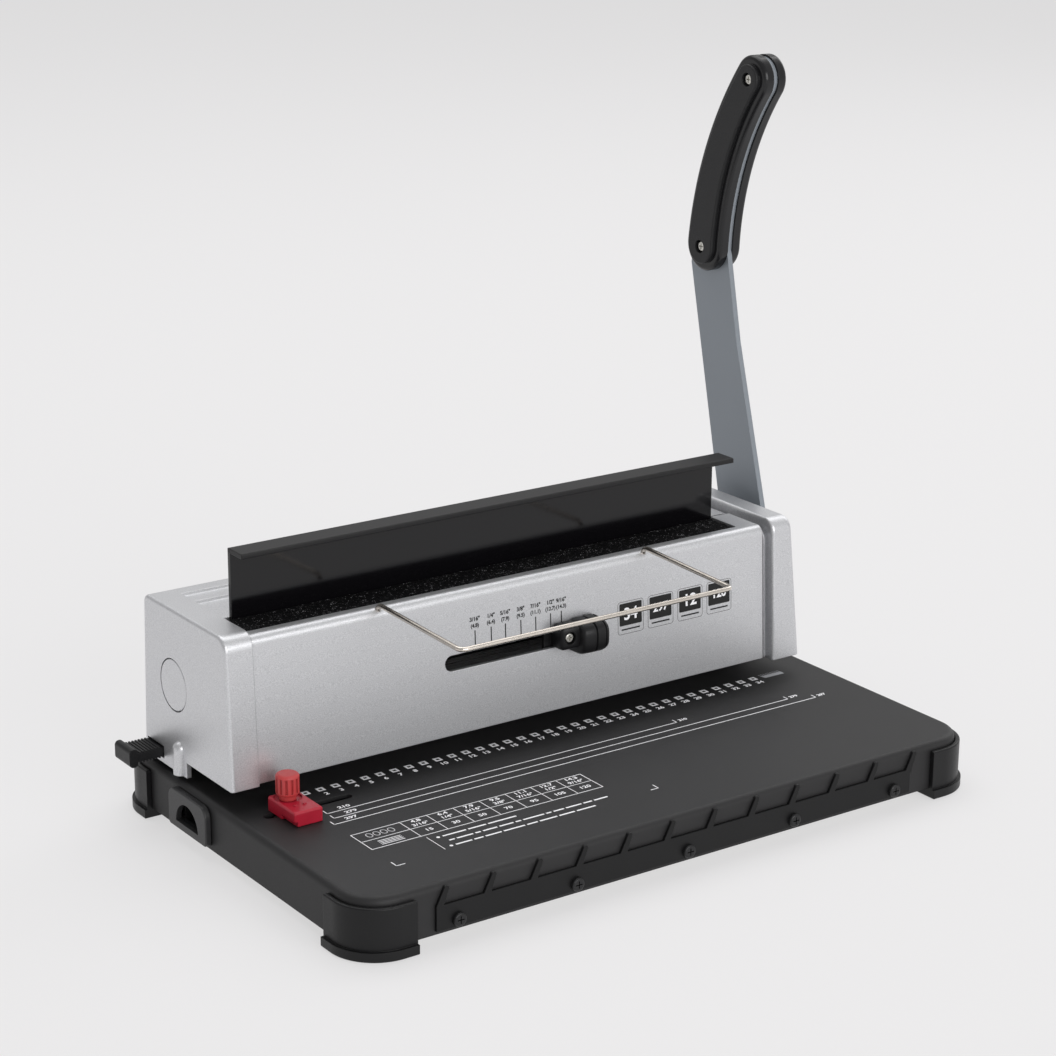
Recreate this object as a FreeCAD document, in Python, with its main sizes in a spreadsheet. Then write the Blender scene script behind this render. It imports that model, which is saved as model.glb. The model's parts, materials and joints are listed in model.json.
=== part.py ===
import FreeCAD, Part
import math
import os

import Sketcher

# Desktop binding machine: it punches a row of square holes and closes double-loop wire.
# X runs along the row of holes, Y to the back, Z up from the table the machine stands on.
# Sizes below are measured from the middle of the hole row (X), the printed row of squares
# in front of the covers (Y) and the table (Z). origin_x and origin_y then carry every piece
# to the machine's own origin, the middle of its footprint.

Vector = FreeCAD.Vector

DIMENSIONS = {
    # where the middle of the hole row lies from the origin
    "origin_x": 5.9, "origin_y": 9.0,
    # base tray and its corners
    "base_half": 183.5, "base_front": -122.5, "base_rear": 104.5, "table_top": 30.0,
    "tray_bottom": 5.5, "tray_wall": 2.0, "tray_corner": 20.0, "tray_edge": 3.5,
    "floor_sheet": 1.2, "guard_gap": 0.2, "guard_wall": 2.6, "guard_arm": 28.0,
    "guard_top": 26.0, "foot_height": 5.3, "foot_lip": 1.5, "pad_radius": 8.0, "pad_height": 2.0,
    # hooks on the front wall
    "rack_left": -144.8, "rack_right": 140.5, "rack_bottom": 7.5, "rack_top": 19.8,
    "rack_sheet": 1.5, "hook_first": -138.8, "hook_pitch": 25.68, "hook_count": 12,
    "hook_tip": 28.9, "hook_width": 2.6, "hook_lean": 6.0, "hook_root": 4.0,
    "rack_screw_first": -133.1, "rack_screw_pitch": 65.65, "rack_screw_height": 11.2,
    # housing
    "shell_left": -181.0, "shell_part": -166.0, "cover_right": 144.6, "cap_left": 148.5,
    "cap_right": 168.4, "cap_lean": 6.4, "shell_wall": 2.5, "cover_bottom": 40.5,
    "cover_top": 116.5, "cover_foot": 41.6, "cover_crown": 115.0, "cover_inset": 0.8,
    "cover_round": 4.5, "cover_wall": 2.0,
    "front_low": -2.5, "front_high": 1.3, "rear_low": 87.0, "rear_high": 83.0,
    "top_edge": 7.5, "rear_edge": 4.0, "throat_depth": 43.0, "cap_proud": 3.0, "cap_rise": 2.0,
    "neck_inset": 3.4, "neck_drop": 5.0, "bead_rise": 1.5, "bead_left": 146.2, "bead_width": 0.9,
    "step_rear": 71.0, "step_front": 60.0, "step_drop": 1.2, "step_slant": 1.2, "recess_front": 34.6,
    "band_rear": 9.5, "bed_right": 132.0, "disc_radius": 13.0,
    "bump_radius": 3.9, "bump_y": 50.0, "bump_bottom": 32.6, "bump_top": 45.6, "shell_foot": 32.4,
    "end_edge": 1.8, "disc_gap": 0.55,
    # shaft and its gears
    "axis_y": 54.0, "axis_z": 77.5, "shaft_radius": 6.0, "gear_module": 1.5,
    "closing_teeth": 22.0, "punch_teeth": 12.0, "gear_width": 6.0,
    "closing_gear_x": 152.0, "punch_gear_x": 137.0,
    # closing bar
    "bar_front": 31.5, "bar_sheet": 2.5, "bar_left": -160.0, "bar_right": 133.0,
    "bar_top": 149.3, "lip_reach": 13.5, "lip_overhang": 5.5, "wing_right": 157.0,
    "wing_top": 110.0, "bar_bottom": 68.0,
    # punch
    "hole_pitch": 8.467, "hole_count": 34, "pin_size": 4.0, "pin_y": 37.5,
    "pin_tip": 34.5, "punch_bar_bottom": 54.0, "punch_bar_top": 72.0, "punch_bar_front": 34.9,
    "punch_bar_rear": 41.0, "punch_bar_half": 143.5, "die_front": 30.0, "die_rear": 41.5,
    "die_bottom": 24.0, "guide_bottom": 33.2, "guide_top": 39.2, "guide_rear": 46.0,
    # crimping bed
    "bed_front": 9.8, "bed_rear": 30.8, "bed_bottom": 104.0, "bed_top": 113.1,
    "bed_surface": 114.6,
    # side plates
    "plate_x": 158.0, "plate_left_x": 168.0, "plate_sheet": 3.0, "plate_front": 8.0, "plate_rear": 77.0,
    "plate_top": 108.0, "bush_radius": 8.0, "bush_flange": 10.0,
    "tie_radius": 4.0, "tie_rear_y": 68.0, "tie_rear_z": 99.0, "tie_front_y": 14.0, "tie_front_z": 58.0,
    # lever
    "blade_left": 171.0, "blade_thick": 3.0, "hub_radius": 20.0, "grip_arc": 180.0,
    "grip_centre_y": -95.3, "grip_centre_z": 236.5, "grip_low_half": 14.5,
    "grip_high_half": 12.5, "grip_thick": 6.0, "grip_panel": 2.5, "grip_border": 4.5,
    "hub_washer": 9.0,
    # wire size selector
    "slot_left": -58.6, "slot_right": 31.0, "slot_z": 79.0, "slot_half": 4.1,
    "knob_left": 6.2, "knob_right": 33.0, "knob_bottom": 71.0, "knob_top": 89.0,
    "knob_split": 10.6, "knob_back": -0.6, "knob_screw": 5.1, "slider_face": 3.1,
    "knob_front": -9.5, "knob_nose": -14.0,
    # edge stop
    "stop_left": -165.0, "stop_width": 15.6, "stop_front": -33.5, "stop_rear": -7.6,
    "stop_top": 37.5, "stop_screw_x": -157.7, "stop_screw_y": -14.5, "stop_knob_radius": 5.8,
    "stop_knob_top": 49.8, "stop_slot_left": -170.6, "stop_slot_right": -122.5,
    # margin adjuster
    "pull_end": -199.6, "pull_front": 67.0, "pull_rear": 83.0, "pull_bottom": 35.5,
    "pull_top": 41.0, "gauge_front": 42.0, "gauge_bar": 5.0, "slider_bottom": 36.4,
    "slider_top": 39.4, "slider_front": 66.8, "slider_rear": 75.4, "cam_x": 120.0,
    "cam_y": 69.6, "cam_travel": 10.0, "cam_rise": 3.0, "cam_pin": 1.5,
    # wire rest
    "rest_left": -94.9, "rest_right": 66.4, "rest_front": -68.6, "rest_foot_y": 4.2,
    "rest_height": 116.9, "rest_droop": 1.9, "rest_radius": 1.25, "rest_depth": 106.0, "rest_bend": 4.0,
    # waste drawer
    "drawer_front": 18.0, "drawer_rear": 49.0, "drawer_bottom": 7.2, "drawer_top": 19.3,
    "drawer_right": 155.0, "drawer_wall": 1.5, "face_front": 14.5, "face_rear": 52.5,
    "face_top": 27.5, "face_thick": 3.0, "finger_radius": 11.2, "finger_flat": 11.5,
    "finger_y": 33.5,
}

# where the screws of the rear cover and the closing bar's springs stand along X
REAR_SCREWS = (-150, -50, 40, 128)
SPRING_SIDES = (-100, 100)

doc = FreeCAD.newDocument("binding_machine")
sheet = doc.addObject("Spreadsheet::Sheet", "Dims")
for row, (alias, number) in enumerate(DIMENSIONS.items(), start=1):
    cell = "A" + str(row)
    sheet.set(cell, str(number))
    sheet.setAlias(cell, alias)
doc.recompute()


class Size:
    """A length that carries both its expression on the sheet and its present number."""

    def __init__(self, text, number):
        self.text = text
        self.number = float(number)

    def join(self, sign, other, number):
        return Size("(" + self.text + " " + sign + " " + other.text + ")", number)

    def __add__(self, other):
        other = size(other)
        return self.join("+", other, self.number + other.number)

    def __sub__(self, other):
        other = size(other)
        return self.join("-", other, self.number - other.number)

    def __mul__(self, other):
        other = size(other)
        return self.join("*", other, self.number * other.number)

    def __truediv__(self, other):
        other = size(other)
        return self.join("/", other, self.number / other.number)

    def __radd__(self, other):
        return size(other) + self

    def __rsub__(self, other):
        return size(other) - self

    def __rmul__(self, other):
        return size(other) * self

    def __neg__(self):
        return size(0) - self


def size(value):
    """Turns a bare number into a Size; a Size passes through."""
    if isinstance(value, Size):
        return value
    return Size("(" + format(float(value), ".6f") + ")", value)


class Dims:
    """Gives each cell of the sheet as a Size: dim.table_top and so on."""

    def __getattr__(self, alias):
        return Size("Dims." + alias, getattr(sheet, alias))


dim = Dims()
nodes = []


# ---------------------------------------------------------------- helpers

def bind(thing, path, value):
    """Binds a property to the sheet and gives it its present value."""
    thing.setExpression(path, size(value).text)


def place(thing, at=(0, 0, 0)):
    """Puts a piece at a point that follows the sheet."""
    for axis, value in zip("xyz", at):
        bind(thing, "Placement.Base." + axis, value)


def node(thing, label, at=(0, 0, 0)):
    """Names a finished piece and carries it to the machine's origin."""
    if thing.TypeId in ("Part::Box", "Part::Cylinder"):
        thing = group([thing])
    thing.Label = label
    place(thing, (dim.origin_x + at[0], dim.origin_y + at[1], at[2]))
    nodes.append(thing)
    return thing


def box(low, high):
    """A block from its lowest corner to its highest."""
    block = doc.addObject("Part::Box", "Block")
    for name, start, end in zip(("Length", "Width", "Height"), low, high):
        bind(block, name, size(end) - start)
    place(block, low)
    return block


TURN = {"x": FreeCAD.Rotation(Vector(0, 1, 0), 90), "y": FreeCAD.Rotation(Vector(1, 0, 0), -90),
        "z": FreeCAD.Rotation()}


def rod(start, axis, length, radius):
    """A cylinder from start, along +X, +Y or +Z."""
    cylinder = doc.addObject("Part::Cylinder", "Rod")
    bind(cylinder, "Radius", radius)
    bind(cylinder, "Height", length)
    cylinder.Placement = FreeCAD.Placement(Vector(), TURN[axis])
    place(cylinder, start)
    return cylinder


def fuse(*shapes):
    union = doc.addObject("Part::MultiFuse", "Union")
    union.Shapes = list(shapes)
    union.Refine = True
    return union


def group(shapes):
    """Separate solids under one node."""
    compound = doc.addObject("Part::Compound", "Group")
    compound.Links = list(shapes)
    return compound


def cut(base, *tools):
    difference = doc.addObject("Part::Cut", "Difference")
    difference.Base = base
    difference.Tool = tools[0] if len(tools) == 1 else fuse(*tools)
    return difference


def round_edges(base, radius, wanted):
    """Fillets the edges that the wanted test accepts by their middle and themselves."""
    doc.recompute()
    fillet = doc.addObject("Part::Fillet", "Rounded")
    fillet.Base = base
    fillet.Edges = [(number, radius, radius) for number, edge in enumerate(base.Shape.Edges, start=1)
                    if wanted(middle(edge), edge)]
    return fillet


def middle(edge):
    """The middle of an edge, measured as the pieces are, without the shift to the origin."""
    first, last = edge.ParameterRange
    return edge.valueAt((first + last) / 2)


def runs(edge, axis):
    """True for a straight edge along one axis."""
    box_of = edge.BoundBox
    spans = {"x": box_of.XLength, "y": box_of.YLength, "z": box_of.ZLength}
    return spans[axis] > 1 and all(spans[other] < 0.05 for other in spans if other != axis)


def near(number, target, slack=0.05):
    return abs(number - size(target).number) < slack


def body():
    return doc.addObject("PartDesign::Body", "Body")


def sketch_on(owner, plane, offset=0):
    """An empty sketch on one of the body's own planes, moved along its normal."""
    sketch = owner.newObject("Sketcher::SketchObject", "Sketch")
    role = plane + "_Plane"
    flat = [feature for feature in owner.Origin.OriginFeatures if feature.Role == role][0]
    sketch.AttachmentSupport = [(flat, "")]
    sketch.MapMode = "FlatFace"
    bind(sketch, "AttachmentOffset.Base.z", offset)
    return sketch


def pin_down(sketch, geometry, point, across, up):
    """Holds one point of a sketch at distances bound to the sheet."""
    for kind, value in (("DistanceX", across), ("DistanceY", up)):
        index = sketch.addConstraint(
            Sketcher.Constraint(kind, -1, 1, geometry, point, size(value).number))
        sketch.setExpression("Constraints[" + str(index) + "]", size(value).text)


def radius_of(sketch, geometry, radius):
    index = sketch.addConstraint(Sketcher.Constraint("Radius", geometry, size(radius).number))
    sketch.setExpression("Constraints[" + str(index) + "]", size(radius).text)


def draw_circle(sketch, centre, radius):
    at = Vector(size(centre[0]).number, size(centre[1]).number, 0)
    circle = sketch.addGeometry(Part.Circle(at, Vector(0, 0, 1), size(radius).number))
    pin_down(sketch, circle, 3, centre[0], centre[1])
    radius_of(sketch, circle, radius)


def draw_outline(sketch, corners):
    """Closed outline. A corner is (across, up), or (across, up, radius) to round it."""
    points = [Vector(size(corner[0]).number, size(corner[1]).number, 0) for corner in corners]
    count = len(points)
    starts, ends = list(points), list(points)
    for i, corner in enumerate(corners):
        if len(corner) < 3:
            continue
        back = (points[i - 1] - points[i]).normalize()
        ahead = (points[(i + 1) % count] - points[i]).normalize()
        reach = size(corner[2]).number / math.tan(back.getAngle(ahead) / 2)
        ends[i] = points[i] + back * reach
        starts[i] = points[i] + ahead * reach
    lines = [sketch.addGeometry(Part.LineSegment(starts[i - 1], ends[i])) for i in range(count)]
    for i, corner in enumerate(corners):
        before, after = lines[i], lines[(i + 1) % count]
        if len(corner) < 3:
            sketch.addConstraint(Sketcher.Constraint("Coincident", before, 2, after, 1))
            pin_down(sketch, before, 2, corner[0], corner[1])
            continue
        round_corner(sketch, corner, points[i], ends[i], starts[i], before, after)


def round_corner(sketch, corner, point, end, start, before, after):
    """An arc tangent to both lines, whose sharp corner stays where the sheet puts it."""
    radius = size(corner[2]).number
    inward = ((end - point) + (start - point)).normalize()
    reach = math.hypot(radius, (end - point).Length)
    centre = point + inward * reach
    turn = (point - end).cross(start - point).z
    first, last = (end, start) if turn > 0 else (start, end)
    circle = Part.Circle(centre, Vector(0, 0, 1), radius)
    angles = [math.atan2(p.y - centre.y, p.x - centre.x) for p in (first, last)]
    arc = sketch.addGeometry(Part.ArcOfCircle(circle, angles[0], angles[1]))
    meets = (1, 2) if turn > 0 else (2, 1)
    sketch.addConstraint(Sketcher.Constraint("Tangent", before, 2, arc, meets[0]))
    sketch.addConstraint(Sketcher.Constraint("Tangent", after, 1, arc, meets[1]))
    radius_of(sketch, arc, corner[2])
    mark = sketch.addGeometry(Part.Point(point), True)
    pin_down(sketch, mark, 1, corner[0], corner[1])
    sketch.addConstraint(Sketcher.Constraint("PointOnObject", mark, 1, before))
    sketch.addConstraint(Sketcher.Constraint("PointOnObject", mark, 1, after))


def draw_sides(sketch, sides):
    """Closed outline of straight and curved sides. A side is (across, up) for the end of a line,
    or (across, up, radius, turn) for the end of an arc; turn is 1 to curve left, -1 right."""
    points = [Vector(size(side[0]).number, size(side[1]).number, 0) for side in sides]
    drawn = []
    for i, side in enumerate(sides):
        start, end = points[i - 1], points[i]
        if len(side) == 2:
            drawn.append((sketch.addGeometry(Part.LineSegment(start, end)), 1, 2))
            continue
        radius, turn = size(side[2]).number, side[3]
        chord = end - start
        height = math.sqrt(max(radius ** 2 - (chord.Length / 2) ** 2, 0))
        normal = Vector(-chord.y, chord.x, 0).normalize()
        centre = (start + end) / 2 + normal * height * turn
        first, last = (start, end) if turn > 0 else (end, start)
        angles = [math.atan2(p.y - centre.y, p.x - centre.x) for p in (first, last)]
        circle = Part.Circle(centre, Vector(0, 0, 1), radius)
        arc = sketch.addGeometry(Part.ArcOfCircle(circle, angles[0], angles[1]))
        radius_of(sketch, arc, side[2])
        drawn.append((arc, 1, 2) if turn > 0 else (arc, 2, 1))
    for i, side in enumerate(sides):
        geometry, _, tail = drawn[i]
        following, head, _ = drawn[(i + 1) % len(sides)]
        sketch.addConstraint(Sketcher.Constraint("Coincident", geometry, tail, following, head))
        pin_down(sketch, geometry, tail, side[0], side[1])


def pad(owner, plane, start, length, corners=None, sides=None, circles=(), back=False):
    """Pads an outline from a plane at start; back pads against the plane's normal."""
    return extrude(owner, "PartDesign::Pad", plane, start, length, corners, sides, circles, back)


def pocket(owner, plane, start, length, corners=None, sides=None, circles=(), back=False):
    """Cuts an outline from a plane at start along its normal, or against it with back."""
    return extrude(owner, "PartDesign::Pocket", plane, start, length, corners, sides, circles, not back)


def extrude(owner, kind, plane, start, length, corners, sides, circles, flip):
    sketch = sketch_on(owner, plane, start)
    if corners:
        draw_outline(sketch, corners)
    if sides:
        draw_sides(sketch, sides)
    for across, up, radius in circles:
        draw_circle(sketch, (across, up), radius)
    before = owner.Shape.Volume if kind.endswith("Pocket") else 0
    feature = owner.newObject(kind, "Feature")
    feature.Profile = sketch
    bind(feature, "Length", length)
    feature.Reversed = flip
    doc.recompute()
    if kind.endswith("Pocket") and owner.Shape.Volume >= before - 1e-3:
        raise RuntimeError("a pocket on " + plane + " removed nothing")
    return feature


def soften(owner, feature, radius, wanted):
    """Fillets edges of a body's last feature that the wanted test accepts."""
    doc.recompute()
    names = ["Edge" + str(number) for number, edge in enumerate(feature.Shape.Edges, start=1)
             if wanted(middle(edge), edge)]
    fillet = owner.newObject("PartDesign::Fillet", "Fillet")
    fillet.Base = (feature, names)
    bind(fillet, "Radius", radius)
    doc.recompute()
    return fillet


def repeat(owner, feature, axis, pitch, count):
    """Repeats a feature along X, and makes the row the body's tip."""
    row = owner.newObject("PartDesign::LinearPattern", "Row")
    row.Originals = [feature]
    line = [part for part in owner.Origin.OriginFeatures if part.Role == axis + "_Axis"][0]
    row.Direction = (line, [""])
    bind(row, "Length", pitch * (count - 1))
    bind(row, "Occurrences", count)
    owner.Tip = row
    doc.recompute()
    return row


def cross_head(centre, axis, turn, radius, height, shank, depth):
    """A pan-head cross-slot screw: its head stands out along the axis, its shank goes in."""
    out = 1 if turn == "+" else -1
    index = "xyz".index(axis)

    def along(offset):
        point = list(centre)
        point[index] = point[index] + size(offset)
        return tuple(point)

    head = rod(centre if out > 0 else along(-height), axis, height, radius)
    stem = rod(along(-depth) if out > 0 else centre, axis, depth, shank)
    slots = []
    for wide in [other for other in range(3) if other != index]:
        low = [size(value) for value in centre]
        high = [size(value) for value in centre]
        for other in range(3):
            reach = 0.55 * radius if other == wide else 0.28
            if other != index:
                low[other] = low[other] - reach
                high[other] = high[other] + reach
        floor = 0.35 * height if out > 0 else -height - 1
        roof = height + 1 if out > 0 else -0.35 * height
        low[index] = low[index] + floor
        high[index] = high[index] + roof
        slots.append(box(low, high))
    rounded = round_edges(head, size(height * 0.45).number,
                          lambda at, edge: far_rim(at, edge, along(height * out)[index].number, index))
    return fuse(cut(rounded, *slots), stem)


def far_rim(at, edge, level, index):
    """The round rim of a screw head on its outer face."""
    return edge.Closed and abs(at[index] - level) < 0.01


# ---------------------------------------------------------------- base

def make_base_tray():
    d = dim
    tray = body()
    rim = [(-d.base_half, d.base_front, d.tray_corner), (d.base_half, d.base_front, d.tray_corner),
           (d.base_half, d.base_rear, d.tray_corner), (-d.base_half, d.base_rear, d.tray_corner)]
    block = pad(tray, "XY", d.tray_bottom, d.table_top - d.tray_bottom, corners=rim)
    soften(tray, block, d.tray_edge, lambda at, edge: near(at.z, d.table_top))
    inner = d.tray_corner - d.tray_wall
    half = d.base_half - d.tray_wall
    low, high = d.base_front + d.tray_wall, d.base_rear - d.tray_wall
    hollow = [(-half, low, inner), (half, low, inner), (half, high, inner), (-half, high, inner)]
    pocket(tray, "XY", d.tray_bottom, d.table_top - d.tray_wall - d.tray_bottom, corners=hollow)
    side = d.punch_bar_half + 3
    window = [(-side, d.die_front - 0.2), (side, d.die_front - 0.2),
              (side, d.die_rear + 0.2), (-side, d.die_rear + 0.2)]
    pocket(tray, "XY", d.die_bottom, 20, corners=window)
    low, high, bend = d.stop_screw_y - 2.5, d.stop_screw_y + 2.5, 2.4
    lane = [(d.stop_slot_left, low, bend), (d.stop_slot_right, low, bend),
            (d.stop_slot_right, high, bend), (d.stop_slot_left, high, bend)]
    pocket(tray, "XY", d.die_bottom, 20, corners=lane)
    door = [(d.drawer_front - 0.6, d.drawer_bottom - 0.4), (d.drawer_rear + 0.6, d.drawer_bottom - 0.4),
            (d.drawer_rear + 0.6, d.face_top - 1.5), (d.drawer_front - 0.6, d.face_top - 1.5)]
    pocket(tray, "YZ", -d.base_half - 2, 6, corners=door)
    screws = [(d.rack_screw_first + d.rack_screw_pitch * i, d.rack_screw_height, 1.6) for i in range(5)]
    pocket(tray, "XZ", -d.base_front - 6, 8, circles=screws)
    node(tray, "base_tray")


def make_bottom_plate():
    d = dim
    plate = body()
    half = d.base_half - d.tray_wall - 0.3
    low, high = d.base_front + d.tray_wall + 0.3, d.base_rear - d.tray_wall - 0.3
    bend = d.tray_corner - d.tray_wall - 0.3
    rim = [(-half, low, bend), (half, low, bend), (half, high, bend), (-half, high, bend)]
    pad(plate, "XY", d.tray_bottom, d.floor_sheet, corners=rim)
    node(plate, "bottom_plate")


def make_guard(label, side, end):
    """A corner guard wraps one corner of the tray and carries the foot under it.
    side is -1 on the left and 1 on the right, end is -1 at the front and 1 at the rear."""
    d = dim
    guard = body()
    corner_x = d.base_half * side
    corner_y = d.base_front if end < 0 else d.base_rear

    def ring(outside, arm, inside):
        """An L round the corner, from its outer offset to its inner offset."""
        turn_out, turn_in = d.tray_corner + outside, d.tray_corner + inside
        out_x, out_y = corner_x + outside * side, corner_y + outside * end
        in_x, in_y = corner_x + inside * side, corner_y + inside * end
        tail_x, tail_y = corner_x - arm * side, corner_y - arm * end
        path = [(out_x, tail_y), (out_x, out_y, turn_out), (tail_x, out_y),
                (tail_x, in_y), (in_x, in_y, turn_in), (in_x, tail_y)]
        return path if side * end > 0 else path[::-1]

    outer = d.guard_gap + d.guard_wall
    pad(guard, "XY", d.foot_height - 0.3, d.guard_top - d.foot_height + 0.3,
        corners=ring(outer, d.guard_arm, d.guard_gap))
    foot_out = outer + d.foot_lip
    foot_x, foot_y = corner_x + foot_out * side, corner_y + foot_out * end
    tail_x, tail_y = corner_x - d.guard_arm * side, corner_y - d.guard_arm * end
    foot = [(foot_x, tail_y), (foot_x, foot_y, d.tray_corner + foot_out), (tail_x, foot_y),
            (tail_x, tail_y, 6)]
    sole = pad(guard, "XY", 0.4, d.foot_height - 0.4, corners=foot if side * end > 0 else foot[::-1])
    soften(guard, sole, 0.8, lambda at, edge: near(at.z, d.guard_top)
           or (near(at.z, 0.4) and edge.Length > 3))
    pad_x, pad_y = corner_x - 13 * side, corner_y - 13 * end
    pocket(guard, "XY", 0.4, d.pad_height - 0.4, circles=[(pad_x, pad_y, d.pad_radius)])
    node(guard, label)
    return rod((pad_x, pad_y, 0), "z", d.pad_height, d.pad_radius)


def make_hook_rack():
    d = dim
    rack = body()
    face = -d.base_front + 0.05
    plate = [(d.rack_left, d.rack_bottom), (d.rack_right, d.rack_bottom),
             (d.rack_right, d.rack_top), (d.rack_left, d.rack_top)]
    screws = [(d.rack_screw_first + d.rack_screw_pitch * i, d.rack_screw_height, 1.6) for i in range(5)]
    pad(rack, "XZ", face, d.rack_sheet, corners=plate, circles=screws)
    root = d.hook_first - d.hook_lean
    half = d.hook_width / 2
    hook = [(root + 0.05, d.rack_top - 2), (root + d.hook_root, d.rack_top - 2),
            (root + d.hook_root, d.rack_top, 1.0),
            (d.hook_first + half, d.hook_tip, half - 0.2), (d.hook_first - half, d.hook_tip, half - 0.2),
            (root + 0.05, d.rack_top)]
    first = pad(rack, "XZ", face, d.rack_sheet, corners=hook)
    repeat(rack, first, "X", d.hook_pitch, d.hook_count)
    node(rack, "hook_rack")
    screws = []
    for i in range(5):
        x = d.rack_screw_first + d.rack_screw_pitch * i
        at = (x, d.base_front - 0.05 - d.rack_sheet, d.rack_screw_height)
        screws.append(cross_head(at, "y", "-", 3.4, 2.2, 1.5, 8))
    node(group(screws), "hook_rack_screws")


# ---------------------------------------------------------------- housing

def make_main_shell():
    d = dim
    shell = body()
    width = d.cover_right - d.shell_left
    crown = d.cover_top
    outline = [(d.front_low, d.cover_bottom), (d.front_high, crown, d.top_edge),
               (d.rear_high, crown, d.rear_edge), (d.rear_low, d.shell_foot),
               (d.throat_depth, d.shell_foot), (d.throat_depth, d.cover_bottom)]
    block = pad(shell, "YZ", d.shell_left, width, corners=outline)
    soften(shell, block, d.end_edge, lambda at, edge: near(at.x, d.shell_left) and at.z > 45)
    wall = d.shell_wall
    cavity = [(d.front_low + wall, d.table_top - 5), (d.front_high + wall, d.cover_top - 4.5, 6.0),
              (d.rear_high + 10, d.cover_top - 4.5), (d.rear_high + 10, d.table_top - 5)]
    pocket(shell, "YZ", d.shell_left + wall, width, corners=cavity)
    front = [(-10, d.table_top - 1), (d.recess_front, d.table_top - 1),
             (d.recess_front, d.cover_top + 3), (-10, d.cover_top + 3)]
    pocket(shell, "YZ", d.shell_part, width, corners=front)
    shelf, deck = crown - d.step_drop, crown - 2 * d.step_drop
    steps = [(d.recess_front - 1, crown + 1), (d.recess_front - 1, deck), (d.step_front, deck),
             (d.step_front + d.step_slant, shelf), (d.step_rear, shelf),
             (d.step_rear + d.step_slant, crown), (d.step_rear + d.step_slant, crown + 1)]
    pocket(shell, "YZ", d.shell_part, width, corners=steps)
    pocket(shell, "YZ", d.shell_left - 1, 5, circles=[(d.axis_y, d.axis_z, d.disc_radius + d.disc_gap)])
    gate = [(d.pull_front - 0.5, d.pull_bottom - 0.5), (d.pull_rear + 0.5, d.pull_bottom - 0.5),
            (d.pull_rear + 0.5, d.pull_top + 0.5), (d.pull_front - 0.5, d.pull_top + 0.5)]
    pocket(shell, "YZ", d.shell_left - 1, 5, corners=gate)
    bump = shell.newObject("PartDesign::AdditiveCylinder", "Bump")
    bind(bump, "Radius", d.bump_radius)
    bind(bump, "Height", d.bump_top - d.bump_bottom)
    place(bump, (d.shell_left + 0.6, d.bump_y, d.bump_bottom))
    dome = shell.newObject("PartDesign::AdditiveSphere", "Dome")
    bind(dome, "Radius", d.bump_radius)
    place(dome, (d.shell_left + 0.6, d.bump_y, d.bump_top))
    doc.recompute()
    node(shell, "main_shell")


def make_front_cover():
    d = dim
    cover = body()
    left = d.shell_part + 0.3
    wall, crown, hem = d.cover_wall, d.cover_crown, d.cover_crown - 6.5
    width = d.cover_right - left
    low, high = d.front_low + d.cover_inset, d.front_high + d.cover_inset
    face = [(low, d.cover_foot), (high, crown, d.cover_round), (d.band_rear, crown), (d.band_rear, hem),
            (d.band_rear - wall, hem), (d.band_rear - wall, crown - wall),
            (high + wall, crown - wall, d.cover_round - wall - 0.5), (low + wall, d.cover_foot)]
    pad(cover, "YZ", left, width, corners=face)
    tab = [(d.bed_right + 0.5, d.band_rear - 0.5), (d.cover_right, d.band_rear - 0.5),
           (d.cover_right, d.bar_front - 0.8), (d.bed_right + 0.5, d.bar_front - 0.8)]
    pad(cover, "XY", crown - wall + 0.1, wall - 0.1, corners=tab)
    half = d.slot_half
    lane = [(d.slot_left, d.slot_z - half, half - 0.1), (d.slot_right, d.slot_z - half, half - 0.1),
            (d.slot_right, d.slot_z + half, half - 0.1), (d.slot_left, d.slot_z + half, half - 0.1)]
    pocket(cover, "XZ", -6, 12, corners=lane)
    feet = [(x, d.rest_foot_y, d.rest_radius + 0.1) for x in (d.rest_left, d.rest_right)]
    pocket(cover, "XY", d.cover_top - 12, 20, circles=feet)
    node(cover, "front_cover")


def make_rear_cover():
    d = dim
    panel = body()
    gap = 0.2
    outline = [(d.rear_high - 2.2, d.cover_top - 4.5 - gap), (d.rear_high, d.cover_top - 4.5 - gap),
               (d.rear_low, d.table_top + 0.3), (d.rear_low - 2.2, d.table_top + 0.3)]
    left = d.shell_left + d.shell_wall + gap
    pad(panel, "YZ", left, d.cover_right - gap - left, corners=outline)
    screw_height = d.cover_top - 14
    holes = [(x, screw_height, 1.5) for x in REAR_SCREWS]
    pocket(panel, "XZ", -d.rear_low - 2, 12, circles=holes)
    node(panel, "rear_cover")
    screws = []
    for x in REAR_SCREWS:
        at = (size(x), d.rear_high + 0.65, screw_height)
        screws.append(cross_head(at, "y", "+", 3.2, 2.0, 1.4, 3.0))
    node(group(screws), "rear_cover_screws")


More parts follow.
